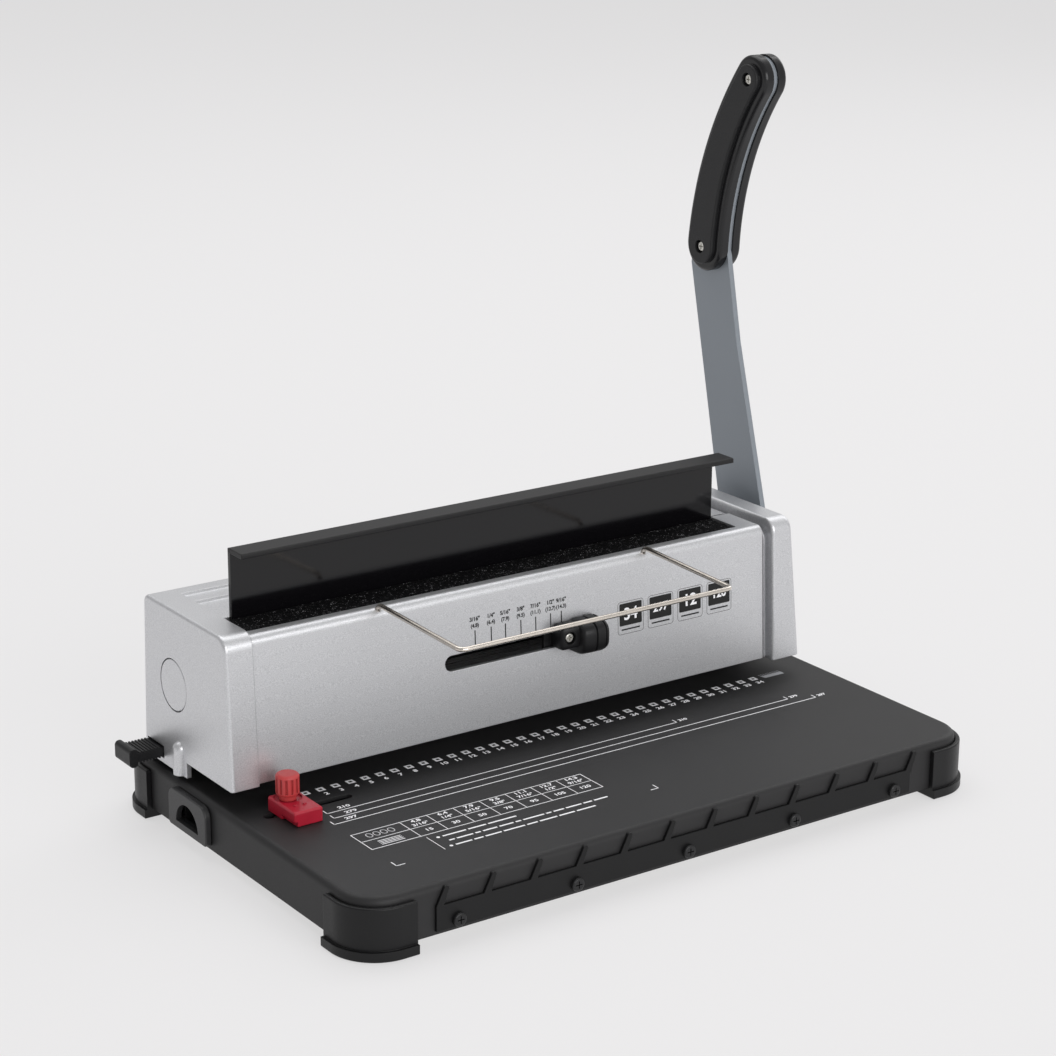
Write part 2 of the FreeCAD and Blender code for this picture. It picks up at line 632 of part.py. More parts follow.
def make_right_end_cap():
    d = dim
    cap = body()
    front, rise, wall = d.cap_proud, d.cap_rise, d.shell_wall
    foot = d.table_top + 0.1
    crown = d.cover_top + rise
    outer = [(d.front_low - front, d.cover_bottom), (d.front_high - front, crown, d.top_edge),
             (d.rear_high + 1, crown, d.rear_edge), (d.rear_low + 1, foot),
             (d.throat_depth, foot), (d.throat_depth, d.cover_bottom)]
    pad(cap, "YZ", d.cap_left, d.cap_right - d.cap_left, corners=outer)
    slope = [(d.cap_right, foot), (d.cap_right - d.cap_lean, crown + 1),
             (d.cap_right + 2, crown + 1), (d.cap_right + 2, foot)]
    leaning = pocket(cap, "XZ", -d.rear_low - 5, d.rear_low + 20, corners=slope)

    def front_or_top(at):
        return at.z > 45 and (at.y < 10 or at.z > 112)

    softer = soften(cap, leaning, 3.2,
                    lambda at, edge: at.x > d.cap_left.number + 8 and front_or_top(at))
    soften(cap, softer, 1.6, lambda at, edge: near(at.x, d.cap_left) and front_or_top(at))

    def neck(start, width, rise):
        """A band round the cap's collar, sunk below the cover except for its rise."""
        inset, brow = d.neck_inset - rise, d.cover_top - d.neck_drop + rise
        pad(cap, "YZ", start, width, corners=[
            (d.front_low + inset, d.cover_bottom + 1), (d.front_high + inset, brow, d.top_edge - 1),
            (d.rear_high - inset, brow, d.rear_edge - 1), (d.rear_low - inset, foot),
            (d.throat_depth, foot), (d.throat_depth, d.cover_bottom + 1)])

    neck(d.cover_right + 0.4, size(8), size(0))
    neck(d.bead_left, d.bead_width, d.bead_rise)
    inset, ceiling = d.neck_inset, d.cover_top - d.neck_drop - 1.0
    hollow = [(d.front_low + wall + inset, d.table_top - 5), (d.front_high + wall + inset, ceiling, 6.0),
              (d.rear_high - wall - inset, ceiling, 3.0), (d.rear_low - wall - inset, d.table_top - 5)]
    inner_face = d.plate_x + d.plate_sheet + 0.4
    pocket(cap, "YZ", d.cover_right - 1, inner_face - d.cover_right + 1, corners=hollow)
    pocket(cap, "YZ", inner_face - 1, 8, circles=[(d.axis_y, d.axis_z, d.bush_flange)])
    node(cap, "right_end_cap")


def make_disc():
    d = dim
    disc = rod((d.shell_left, d.axis_y, d.axis_z), "x", d.shell_wall, d.disc_radius)
    rounded = round_edges(disc, 0.5, lambda at, edge: edge.Closed and near(at.x, d.shell_left))
    flange = rod((d.shell_left + d.shell_wall, d.axis_y, d.axis_z), "x", 1.0, d.disc_radius + 1.5)
    node(fuse(rounded, flange), "axle_cover_disc")


# ---------------------------------------------------------------- frame

def make_side_plate(label, start):
    """A steel side plate: notched for the paper, bored for the shaft's bush. The left one also has
    a window for the margin slider."""
    d = dim
    plate = body()
    base = d.table_top + 0.05
    outline = [(d.throat_depth - 0.5, base), (d.plate_rear, base), (d.plate_rear, d.plate_top, 8),
               (d.plate_front, d.plate_top, 4), (d.plate_front, d.cover_bottom + 2),
               (d.throat_depth - 0.5, d.cover_bottom + 2)]
    pad(plate, "YZ", start, d.plate_sheet, corners=outline, circles=[(d.axis_y, d.axis_z, d.bush_radius)])
    if start.number < 0:
        front, rear = d.slider_front - 0.4, d.slider_rear + 0.4
        low, high = d.slider_bottom - 0.6, d.slider_top + 0.6
        window = [(front, low), (rear, low), (rear, high), (front, high)]
        pocket(plate, "YZ", start - 1, d.plate_sheet + 2, corners=window)
    node(plate, label)


def make_frame():
    d = dim
    make_side_plate("side_plate_left", -d.plate_left_x)
    make_side_plate("side_plate_right", d.plate_x)
    left_inner = -d.plate_left_x + d.plate_sheet
    span = d.plate_x - left_inner
    ties = [rod((left_inner, y, z), "x", span, d.tie_radius)
            for y, z in ((d.tie_rear_y, d.tie_rear_z), (d.tie_front_y, d.tie_front_z))]
    node(group(ties), "tie_rods")
    for label, start in (("shaft_bush_left", -d.plate_left_x), ("shaft_bush_right", d.plate_x)):
        flange_at = start + d.plate_sheet if label.endswith("left") else start - 1.5
        sleeve = rod((start, d.axis_y, d.axis_z), "x", d.plate_sheet, d.bush_radius)
        flange = rod((flange_at, d.axis_y, d.axis_z), "x", 1.5, d.bush_flange)
        bore = rod((start - 3, d.axis_y, d.axis_z), "x", d.plate_sheet + 6, d.shaft_radius + 0.06)
        node(cut(fuse(sleeve, flange), bore), label)
    bed = box((left_inner, d.bed_front, d.bed_bottom), (d.bed_right - 0.5, d.bed_rear, d.bed_top))
    beam = box((d.bed_right - 0.6, d.bed_front, d.bed_bottom), (d.plate_x, d.bed_rear, d.bed_bottom + 4))
    node(fuse(bed, beam), "crimping_bed")
    strip = box((left_inner + 0.2, d.bed_front, d.bed_top), (d.bed_right, d.bed_rear, d.bed_surface))
    node(strip, "crimping_strip")


def make_punch_tools():
    """Die plate in the table, guide plate above it, with the paper gap between them."""
    d = dim
    half = d.pin_size / 2 + 0.1
    first = -d.hole_pitch * (d.hole_count - 1) / 2
    hole = [(first - half, d.pin_y - half), (first + half, d.pin_y - half),
            (first + half, d.pin_y + half), (first - half, d.pin_y + half)]
    side = d.punch_bar_half + 2.5
    die = body()
    pad(die, "XY", d.die_bottom, d.table_top - d.die_bottom,
        corners=[(-side, d.die_front), (side, d.die_front), (side, d.die_rear), (-side, d.die_rear)])
    first_hole = pocket(die, "XY", d.die_bottom - 1, 10, corners=hole)
    repeat(die, first_hole, "X", d.hole_pitch, d.hole_count)
    node(die, "die_plate")
    guide = body()
    left, right = -d.plate_left_x + d.plate_sheet, d.plate_x
    pad(guide, "XY", d.guide_bottom, d.guide_top - d.guide_bottom,
        corners=[(left, d.die_front, 1), (right, d.die_front, 1),
                 (right, d.guide_rear), (left, d.guide_rear)])
    first_hole = pocket(guide, "XY", d.guide_bottom - 1, 10, corners=hole)
    repeat(guide, first_hole, "X", d.hole_pitch, d.hole_count)
    node(guide, "guide_plate")
    blocks = []
    for low, high in ((left, left + 6), (right - 6, right)):
        blocks.append(box((low, d.throat_depth, d.table_top + 0.05), (high, d.guide_rear, d.guide_bottom)))
    for x in (-60, 60):
        blocks.append(box((size(x) - 6, d.slider_front, d.table_top + 0.05),
                          (size(x) + 6, d.slider_rear, d.slider_bottom - 0.05)))
    node(group(blocks), "spacer_blocks")


def make_slide_guides():
    """Grooved posts that keep the closing bar and the punch bar upright."""
    d = dim
    posts = []
    front, rear = d.bar_front - 0.3, d.bar_front + d.bar_sheet + 0.3
    for wall, edge, groove in ((-d.plate_left_x + d.plate_sheet, d.bar_left + 1.2, d.bar_left - 0.8),
                               (d.plate_x, d.wing_right - 1.2, d.wing_right + 0.4)):
        low, high = (wall, edge) if wall.number < 0 else (edge, wall)
        post = box((low, front - 3, d.guide_top), (high, rear + 1.2, d.bed_bottom - 1))
        lane = (groove, high + 1) if wall.number < 0 else (low - 1, groove)
        slot = box((lane[0], front, d.guide_top - 1), (lane[1], rear, d.bed_bottom))
        posts.append(cut(post, slot))
    node(group(posts), "closing_guides")
    posts = []
    for side in (-1, 1):
        ends = sorted([d.punch_bar_half * side - 1.2 * side, d.punch_bar_half * side + 3 * side],
                      key=lambda end: end.number)
        post = box((ends[0], d.punch_bar_front + 0.6, d.guide_top),
                   (ends[1], d.punch_bar_rear + 3.2, d.punch_bar_top + 4))
        lane = sorted([d.punch_bar_half * side - 3 * side, d.punch_bar_half * side + 0.4 * side],
                      key=lambda end: end.number)
        slot = box((lane[0], d.punch_bar_front - 1, d.guide_top - 1),
                   (lane[1], d.punch_bar_rear + 0.4, d.punch_bar_top + 5))
        posts.append(cut(post, slot))
    node(group(posts), "punch_guides")


# ---------------------------------------------------------------- shaft and gears

PRESSURE = math.radians(20)
BACKLASH = 0.16


def tooth_angle(teeth, radius):
    """Half the angle that a pinion tooth fills at a radius."""
    pitch = sheet.gear_module * teeth / 2
    base = pitch * math.cos(PRESSURE)
    tilt = math.acos(min(base / radius, 1))
    spread = math.tan(PRESSURE) - PRESSURE - (math.tan(tilt) - tilt)
    return (math.pi / 2) / teeth - BACKLASH / (2 * pitch) + spread


def pinion(teeth, x, bore):
    """An involute pinion along X, with one tooth pointing straight to the front."""
    pitch = sheet.gear_module * teeth / 2
    root, tip = pitch - 1.25 * sheet.gear_module, pitch + sheet.gear_module
    base = max(pitch * math.cos(PRESSURE), root)
    steps = 6
    radii = [base + (tip - base) * i / steps for i in range(steps + 1)]
    edges, last, first = [], None, None
    for tooth in range(int(teeth)):
        middle_angle = math.pi + 2 * math.pi * tooth / teeth
        flanks = []
        for sign in (-1, 1):
            flank = []
            for radius in radii:
                angle = middle_angle + sign * tooth_angle(teeth, radius)
                flank.append(Vector(0, radius * math.cos(angle), radius * math.sin(angle)))
            flanks.append(flank)
        rising, falling = flanks[0], flanks[1][::-1]
        foot_in = rising[0] * (root / base)
        foot_out = falling[-1] * (root / base)
        if last is not None:
            edges.append(Part.LineSegment(last, foot_in).toShape())
        first = first or foot_in
        edges.append(Part.LineSegment(foot_in, rising[0]).toShape())
        edges += curve(rising)
        edges.append(Part.LineSegment(rising[-1], falling[0]).toShape())
        edges += curve(falling)
        edges.append(Part.LineSegment(falling[-1], foot_out).toShape())
        last = foot_out
    edges.append(Part.LineSegment(last, first).toShape())
    disc = Part.Face(Part.Wire(Part.__sortEdges__(edges)))
    solid = disc.extrude(Vector(sheet.gear_width, 0, 0))
    hole = Part.makeCylinder(bore, sheet.gear_width + 2, Vector(-1, 0, 0), Vector(1, 0, 0))
    gear = doc.addObject("Part::Feature", "Pinion")
    gear.Shape = solid.cut(hole)
    gear.Placement = FreeCAD.Placement(
        Vector(x - sheet.gear_width / 2, sheet.axis_y, sheet.axis_z), FreeCAD.Rotation())
    return gear


def curve(points):
    """A smooth flank through its points."""
    spline = Part.BSplineCurve()
    spline.interpolate(points)
    return [spline.toShape()]


def rack(teeth, addendum, x, low, high, back):
    """A toothed bar along Z that meshes with a pinion of so many teeth; its teeth point to the rear."""
    line = sheet.axis_y - sheet.gear_module * teeth / 2
    pitch = math.pi * sheet.gear_module
    lean = math.tan(PRESSURE)
    root, tip = line - 1.25 * sheet.gear_module, line + addendum
    half = pitch / 4 - BACKLASH / 2
    outline = [Vector(0, root, low)]
    centre = sheet.axis_z + pitch * (math.ceil((low + pitch / 2 - sheet.axis_z) / pitch - 0.5) + 0.5)
    while centre + pitch / 2 < high:
        wide, slim = half + (line - root) * lean, half - (tip - line) * lean
        outline += [Vector(0, root, centre - wide), Vector(0, tip, centre - slim),
                    Vector(0, tip, centre + slim), Vector(0, root, centre + wide)]
        centre += pitch
    outline += [Vector(0, root, high), Vector(0, back, high), Vector(0, back, low), Vector(0, root, low)]
    face = Part.Face(Part.makePolygon(outline))
    bar = doc.addObject("Part::Feature", "Rack")
    bar.Shape = face.extrude(Vector(sheet.gear_width, 0, 0))
    bar.Placement = FreeCAD.Placement(Vector(x - sheet.gear_width / 2, 0, 0), FreeCAD.Rotation())
    return bar


def make_gear_train():
    d = dim
    start = d.shell_left + 4.5
    shaft = rod((start, d.axis_y, d.axis_z), "x", d.blade_left - start, d.shaft_radius)
    node(shaft, "main_shaft")
    clip_gap = 0.5
    clips = []
    for x in (-d.plate_left_x - 2.2 - clip_gap, -d.plate_left_x + d.plate_sheet + 1.5 + clip_gap):
        ring = rod((x, d.axis_y, d.axis_z), "x", 1.2, d.shaft_radius + 2.6)
        clips.append(cut(ring, rod((x - 1, d.axis_y, d.axis_z), "x", 4, d.shaft_radius)))
    node(group(clips), "shaft_clips")
    for teeth, x, name in ((d.closing_teeth, d.closing_gear_x, "closing_pinion"),
                           (d.punch_teeth, d.punch_gear_x, "punch_pinion")):
        for side, end in ((-1, "left"), (1, "right")):
            gear = pinion(teeth.number, side * x.number, sheet.shaft_radius)
            node(group([gear]), name + "_" + end)


# ---------------------------------------------------------------- closing bar and punch

def make_closing_bar():
    d = dim
    bar = body()
    outline = [(d.bar_left, d.bar_bottom), (d.wing_right, d.bar_bottom), (d.wing_right, d.wing_top),
               (d.bar_right, d.wing_top), (d.bar_right, d.bar_top), (d.bar_left, d.bar_top)]
    rear = d.bar_front + d.bar_sheet
    pad(bar, "XZ", -rear, d.bar_sheet, corners=outline)
    tip, end = rear - d.lip_reach, d.bar_right + d.lip_overhang
    lip = [(d.bar_left, tip), (end, tip), (end, rear), (d.bar_left, rear)]
    flange = pad(bar, "XY", d.bar_top - d.bar_sheet, d.bar_sheet, corners=lip)
    soften(bar, flange, 0.8, lambda at, edge: runs(edge, "x") and near(at.z, d.bar_top))
    node(bar, "closing_bar")
    racks = []
    for side in (-1, 1):
        racks.append(rack(sheet.closing_teeth, sheet.gear_module, side * sheet.closing_gear_x,
                          sheet.bar_bottom, sheet.wing_top, sheet.bar_front + sheet.bar_sheet))
    node(group(racks), "closing_racks")
    low, high = d.bar_bottom + 2, d.bar_bottom + 4
    lugs = [box((x - 4, d.bar_front - 11, low), (x + 4, d.bar_front, high)) for x in SPRING_SIDES]
    node(group(lugs), "spring_lugs")


def make_punch():
    d = dim
    half = d.punch_bar_half
    bar = box((-half, d.punch_bar_front, d.punch_bar_bottom), (half, d.punch_bar_rear, d.punch_bar_top))
    node(bar, "punch_bar")
    pins = []
    side = d.pin_size / 2
    front, rear = d.pin_y - side, d.pin_y + side
    for i in range(int(sheet.hole_count)):
        x = d.hole_pitch * (i - (sheet.hole_count - 1) / 2)
        pins.append(box((x - side, front, d.pin_tip), (x + side, rear, d.punch_bar_bottom)))
    node(group(pins), "punch_pins")
    racks = [rack(sheet.punch_teeth, 1.0, sign * sheet.punch_gear_x, sheet.punch_bar_bottom,
                  98.0, sheet.punch_bar_rear) for sign in (-1, 1)]
    node(group(racks), "punch_racks")


def make_springs():
    """Extension springs that hang the closing bar from the crimping bed."""
    d = dim
    top, low = sheet.bed_bottom, sheet.bar_bottom + 4
    for label, x in zip(("return_spring_left", "return_spring_right"), SPRING_SIDES):
        outer = rod((size(x), d.bar_front - 6, low), "z", top - low, 3.6)
        bore = rod((size(x), d.bar_front - 6, low - 1), "z", top - low + 2, 2.8)
        node(cut(outer, bore), label)


# ---------------------------------------------------------------- lever

GRIP_ENDS = {"low": math.radians(4.4), "high": math.radians(37.1)}
GRIP_REAR, GRIP_FRONT = 202.5, 161.0


def grip_end(which):
    """The middle of the round end of the grip, from the centre of the grip's curve."""
    angle = GRIP_ENDS[which]
    return Vector(math.cos(angle), math.sin(angle), 0) * sheet.grip_arc


def curve_centre(low_reach, high_reach):
    """The point at one distance from the grip's low end and another from its high end."""
    low, high = grip_end("low"), grip_end("high")
    span = (high - low).Length
    along = (low_reach ** 2 - high_reach ** 2 + span ** 2) / (2 * span)
    aside = math.sqrt(low_reach ** 2 - along ** 2)
    forward = (high - low) / span
    return low + forward * along + Vector(-forward.y, forward.x, 0) * aside


def grip_outline(inset):
    """The grip's outline drawn inward by inset: its rear curve, top end, front curve and low end,
    each tangent to the next."""
    halves = {"low": sheet.grip_low_half, "high": sheet.grip_high_half}
    rear = curve_centre(GRIP_REAR - halves["low"], GRIP_REAR - halves["high"])
    front = curve_centre(GRIP_FRONT + halves["low"], GRIP_FRONT + halves["high"])

    def corner(centre, end, outward):
        ray = (grip_end(end) - centre).normalize() * (halves[end] - inset) * outward
        at = grip_end(end) + ray
        return dim.grip_centre_y + at.x, dim.grip_centre_z + at.y

    return [corner(rear, "low", 1) + (halves["low"] - inset, 1),
            corner(rear, "high", 1) + (GRIP_REAR - inset, 1),
            corner(front, "high", -1) + (halves["high"] - inset, 1),
            corner(front, "low", -1) + (GRIP_FRONT + inset, -1)]


def screw_point(end):
    at = grip_end(end)
    return dim.grip_centre_y + at.x, dim.grip_centre_z + at.y


def make_lever():
    d = dim
    blade = body()
    _, rear_top, front_top, front_low = grip_outline(1.0)
    hub_front = (d.axis_y - d.hub_radius + 0.3, d.axis_z + 3.45)
    hub_rear = (d.axis_y + d.hub_radius - 0.1, d.axis_z + 2.0)
    outline = [hub_rear + (d.hub_radius, 1), (d.axis_y + 18.6, d.axis_z + 35),
               (d.axis_y + 47.2, d.axis_z + 160.5), rear_top, front_top, front_low,
               (d.axis_y + 6.4, d.axis_z + 123), (d.axis_y - 18.9, d.axis_z + 34.5), hub_front]
    pad(blade, "YZ", d.blade_left, d.blade_thick, sides=outline)
    holes = [screw_point(end) + (1.6,) for end in GRIP_ENDS]
    wells = [screw_point(end) + (3.6,) for end in GRIP_ENDS]
    pocket(blade, "YZ", d.blade_left - 1, d.blade_thick + 2, circles=holes)
    node(blade, "handle_blade")

    for label, start, back in (("grip_half_left", d.blade_left - 0.05, True),
                               ("grip_half_right", d.blade_left + d.blade_thick + 0.05, False)):
        half = body()
        shell = pad(half, "YZ", start, d.grip_thick, sides=grip_outline(0), back=back)
        outward = -1 if back else 1
        thick = d.grip_thick + d.grip_panel
        soften(half, shell, 2.2, lambda at, edge: near(at.x, start + outward * d.grip_thick))
        panel = pad(half, "YZ", start + outward * (d.grip_thick - 0.5), d.grip_panel + 0.5,
                    sides=grip_outline(sheet.grip_border), back=back)
        soften(half, panel, 0.9, lambda at, edge: near(at.x, start + outward * thick))
        pocket(half, "YZ", start - outward, thick + 2, circles=holes, back=back)
        pocket(half, "YZ", start + outward * (thick - 3), 6, circles=wells, back=back)
        node(half, label)

    screws = []
    seat = d.grip_thick + d.grip_panel - 3
    left_face, right_face = d.blade_left - 0.05 - seat, d.blade_left + d.blade_thick + 0.05 + seat
    for end in GRIP_ENDS:
        y, z = screw_point(end)
        screws.append(fuse(cross_head((left_face, y, z), "x", "-", 2.9, 1.8, 1.5, right_face - left_face),
                           cross_head((right_face, y, z), "x", "+", 2.9, 1.8, 1.5, 1)))
    node(group(screws), "grip_screws")

    left, right = d.cap_right + 0.8, d.blade_left + d.blade_thick
    hub = rod((left, d.axis_y, d.axis_z), "x", d.blade_left - left, d.hub_washer)
    node(cut(hub, rod((left - 1, d.axis_y, d.axis_z), "x", 8, d.shaft_radius)), "handle_hub")
    bolt = fuse(rod((right, d.axis_y, d.axis_z), "x", 1.2, d.hub_washer),
                rod((right + 1.2, d.axis_y, d.axis_z), "x", 4.0, 6.5))
    socket = rod((right + 2.4, d.axis_y, d.axis_z), "x", 6, 3.2)
    node(cut(bolt, socket), "hub_bolt")


# ---------------------------------------------------------------- adjusters

def make_selector():
    d = dim
    front, nose, back, split = d.knob_front, d.knob_nose, d.knob_back, d.knob_left + d.knob_split
    screw_x, screw_z = d.knob_left + d.knob_screw, d.slot_z + 2.6
    block = box((d.knob_left, front, d.knob_bottom + 2.5), (split + 0.1, back, d.knob_top - 0.5))
    barrel = box((split, nose, d.knob_bottom), (d.knob_right, back, d.knob_top))
    left = round_edges(block, 2.0, lambda at, edge: near(at.y, front) and at.x < split.number)
    right = round_edges(barrel, 4.0, lambda at, edge: near(at.y, nose))
    recess = rod((screw_x, front - 1, screw_z), "y", 4.0, 3.4)
    hole = rod((screw_x, front + 2.5, screw_z), "y", 8, 1.35)
    node(cut(fuse(left, right), recess, hole), "selector_knob")
    reach, face = d.slot_half - 0.3, d.slider_face
    stem = box((d.knob_left + 1, back, d.slot_z - reach), (d.knob_right - 5, face, d.slot_z + reach))
    slider = box((d.knob_left - 3, face, d.slot_z - 7), (d.knob_right - 1, face + 2, d.slot_z + 8))
    node(fuse(stem, slider), "selector_carriage")
    at = (screw_x, front + 3, screw_z)
    node(cross_head(at, "y", "-", 2.6, 1.6, 1.3, 4.5), "selector_screw")


def make_edge_stop():
    """A sliding stop for the paper's edge, locked by a thumbscrew through the table's slot."""
    d = dim
    low = d.table_top + 0.3
    x, y = d.stop_screw_x, d.stop_screw_y
    block = box((d.stop_left, d.stop_front, low), (d.stop_left + d.stop_width, d.stop_rear, d.stop_top))
    rounded = round_edges(block, 1.2, lambda at, edge: at.z > low.number + 0.5)
    step = box((d.stop_left - 1, d.stop_front - 1, low - 1),
               (d.stop_left + 1.6, d.stop_front + 12, low + 2.4))
    dish = rod((x, y, d.stop_top - 1.0), "z", 3, d.stop_knob_radius + 1.0)
    hole = rod((x, y, low - 1), "z", 12, 2.06)
    pegs = [rod((x + across, y - 11.5, d.stop_top - 0.5), "z", 1.1, 0.9) for across in (-2.4, 2.4)]
    node(fuse(cut(rounded, step, dish, hole), *pegs), "edge_stop_block")
    nut_top = d.table_top - d.tray_wall - 0.4
    nut = box((x - 5, y - 5, nut_top - 3.4), (x + 5, y + 5, nut_top))
    node(cut(nut, rod((x, y, nut_top - 5), "z", 8, 2.06)), "edge_stop_nut")

    flutes, reach = 13, d.stop_knob_radius - 0.35
    neck_low, knob_low = d.stop_top - 0.7, d.stop_top + 1.6
    height = d.stop_knob_top - knob_low
    knob = rod((x, y, knob_low), "z", height, d.stop_knob_radius)
    grooves = []
    for i in range(flutes):
        angle = 2 * math.pi * (i + 0.5) / flutes
        across, along = x + reach * math.cos(angle), y + reach * math.sin(angle)
        grooves.append(rod((across, along, knob_low + 1.7), "z", height - 3.4, 0.6))
    top = round_edges(knob, 1.6, lambda at, edge: edge.Closed)
    neck = rod((x, y, neck_low), "z", 3.0, 4.2)
    stem = rod((x, y, nut_top - 4.5), "z", neck_low - nut_top + 4.6, 2.0)
    node(fuse(cut(top, *grooves), neck, stem), "edge_stop_thumbscrew")


def make_margin_adjuster():
    d = dim
    grip = box((d.pull_end + 3, d.pull_front, d.pull_bottom + 0.6),
               (d.shell_left + 1.0, d.pull_rear, d.pull_top - 0.6))
    ribs = []
    for i in range(7):
        x = d.pull_end + 5.5 + i * 1.75
        ribs.append(box((x, d.pull_front, d.pull_bottom), (x + 0.9, d.pull_rear, d.pull_top)))
    bead = box((d.pull_end, d.pull_front, d.pull_bottom - 2),
               (d.pull_end + 4.6, d.pull_rear, d.pull_top + 2))
    bead = round_edges(bead, 2.1, lambda at, edge: runs(edge, "y"))
    node(fuse(grip, bead, *ribs), "margin_pull")

    slider = body()
    left, right = d.shell_left + 1.0, d.cam_x + 22
    rim = [(left, d.slider_front), (right, d.slider_front), (right, d.slider_rear),
           (left, d.slider_rear)]
    pad(slider, "XY", d.slider_bottom, d.slider_top - d.slider_bottom, corners=rim)
    lean = math.atan2(sheet.cam_rise, sheet.cam_travel)
    half = d.cam_pin + 0.15
    spare = 0.3
    for x in (-d.cam_x, d.cam_x):
        across, up = half * math.sin(lean), half * math.cos(lean)
        near_x, near_y = x - spare * math.cos(lean), d.cam_y - spare * math.sin(lean)
        far_x = x + d.cam_travel + spare * math.cos(lean)
        far_y = d.cam_y + d.cam_rise + spare * math.sin(lean)
        slot = [(near_x + across, near_y - up, half + 0.001, 1), (far_x + across, far_y - up),
                (far_x - across, far_y + up, half + 0.001, 1), (near_x - across, near_y + up)]
        pocket(slider, "XY", d.slider_bottom - 1, 6, sides=slot)
    node(slider, "margin_slider")

    low, high = d.table_top + 0.4, d.guide_bottom - 0.3
    half_length = d.punch_bar_half + 2
    bar = box((-half_length, d.gauge_front, low), (half_length, d.gauge_front + d.gauge_bar, high))
    pieces = [bar]
    for x in (-d.cam_x, d.cam_x):
        pieces.append(box((x - 4, d.gauge_front + 1, low), (x + 4, d.cam_y + 5, high)))
        pieces.append(rod((x, d.cam_y, low), "z", d.slider_top + 1 - low, d.cam_pin))
    node(fuse(*pieces), "back_gauge")


def make_wire_rest():
    """A bent rod: two legs run forward from the cover and a bar joins them, with tips turned down."""
    d = dim
    front_height = d.rest_height - d.rest_droop
    path_points = [(d.rest_left, d.rest_foot_y, d.rest_depth), (d.rest_left, d.rest_foot_y, d.rest_height),
                   (d.rest_left, d.rest_front, front_height), (d.rest_right, d.rest_front, front_height),
                   (d.rest_right, d.rest_foot_y, d.rest_height), (d.rest_right, d.rest_foot_y, d.rest_depth)]
    points = [Vector(*[size(value).number for value in point]) for point in path_points]
    bend = sheet.rest_bend
    edges, start = [], points[0]
    for before, corner, after in zip(points, points[1:], points[2:]):
        back, ahead = (before - corner).normalize(), (after - corner).normalize()
        end, restart = corner + back * bend, corner + ahead * bend
        heart = corner + (back + ahead) * bend
        through = heart - (back + ahead).normalize() * bend
        edges += [Part.LineSegment(start, end).toShape(), Part.Arc(end, through, restart).toShape()]
        start = restart
    edges.append(Part.LineSegment(start, points[-1]).toShape())
    ring = Part.Wire(Part.Circle(points[0], Vector(0, 0, 1), sheet.rest_radius).toShape())
    rest = doc.addObject("Part::Feature", "Rest")
    rest.Shape = Part.Wire(edges).makePipeShell([ring], True, False)
    node(group([rest]), "wire_rest_rod")


def make_waste_drawer():
    d = dim
    start, wall = -d.base_half - 0.4, d.drawer_wall
    left = start + 1 + wall
    block = box((start, d.drawer_front, d.drawer_bottom), (d.drawer_right, d.drawer_rear, d.drawer_top))
    hollow = box((left, d.drawer_front + wall, d.drawer_bottom + wall),
                 (d.drawer_right - wall, d.drawer_rear - wall, d.drawer_top + 5))
    lowered = box((start - 2, d.drawer_front - 1, d.finger_flat - 0.3), (left + 1, d.drawer_rear + 1, 40))
    node(cut(block, hollow, lowered), "waste_drawer_tray")
    face = body()
    flat = d.finger_flat
    outline = [(d.face_front, d.drawer_bottom + 0.3, 2), (d.face_rear, d.drawer_bottom + 0.3, 2),
               (d.face_rear, d.face_top, 6), (d.face_front, d.face_top, 6)]
    front = pad(face, "YZ", start, d.face_thick, corners=outline, back=True)
    soften(face, front, 0.7, lambda at, edge: near(at.x, start - d.face_thick))
    reach = d.finger_radius
    moon = [(d.finger_y + reach, flat), (d.finger_y - reach, flat, reach + 0.001, 1)]
    pocket(face, "YZ", start - d.face_thick - 1, 8, sides=moon)
    node(face, "waste_drawer_face")


# ---------------------------------------------------------------- build

make_base_tray()
make_bottom_plate()
pads = [make_guard(name, side, end) for name, side, end in (
    ("guard_front_left", -1, -1), ("guard_front_right", 1, -1),
    ("guard_rear_left", -1, 1), ("guard_rear_right", 1, 1))]
node(group(pads), "foot_pads")
make_hook_rack()
make_main_shell()
make_front_cover()
make_rear_cover()
make_right_end_cap()
make_disc()
make_frame()
make_punch_tools()
make_slide_guides()
make_gear_train()
make_closing_bar()
make_punch()
make_springs()
make_lever()
make_selector()
make_edge_stop()
make_margin_adjuster()
make_wire_rest()
make_waste_drawer()
doc.recompute()

faults = [thing.Label for thing in doc.Objects if "Invalid" in thing.State or "Error" in thing.State]
faults += [piece.Label for piece in nodes if piece.Shape.isNull() or not piece.Shape.isValid()]
if faults:
    raise RuntimeError("pieces that failed: " + ", ".join(faults))

os.makedirs("parts", exist_ok=True)
for piece in nodes:
    piece.Shape.exportStep("parts/" + piece.Label + ".step")
print(len(nodes), "pieces written")
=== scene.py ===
import json
import math

import bmesh
import bpy
from mathutils import Matrix, Vector, noise


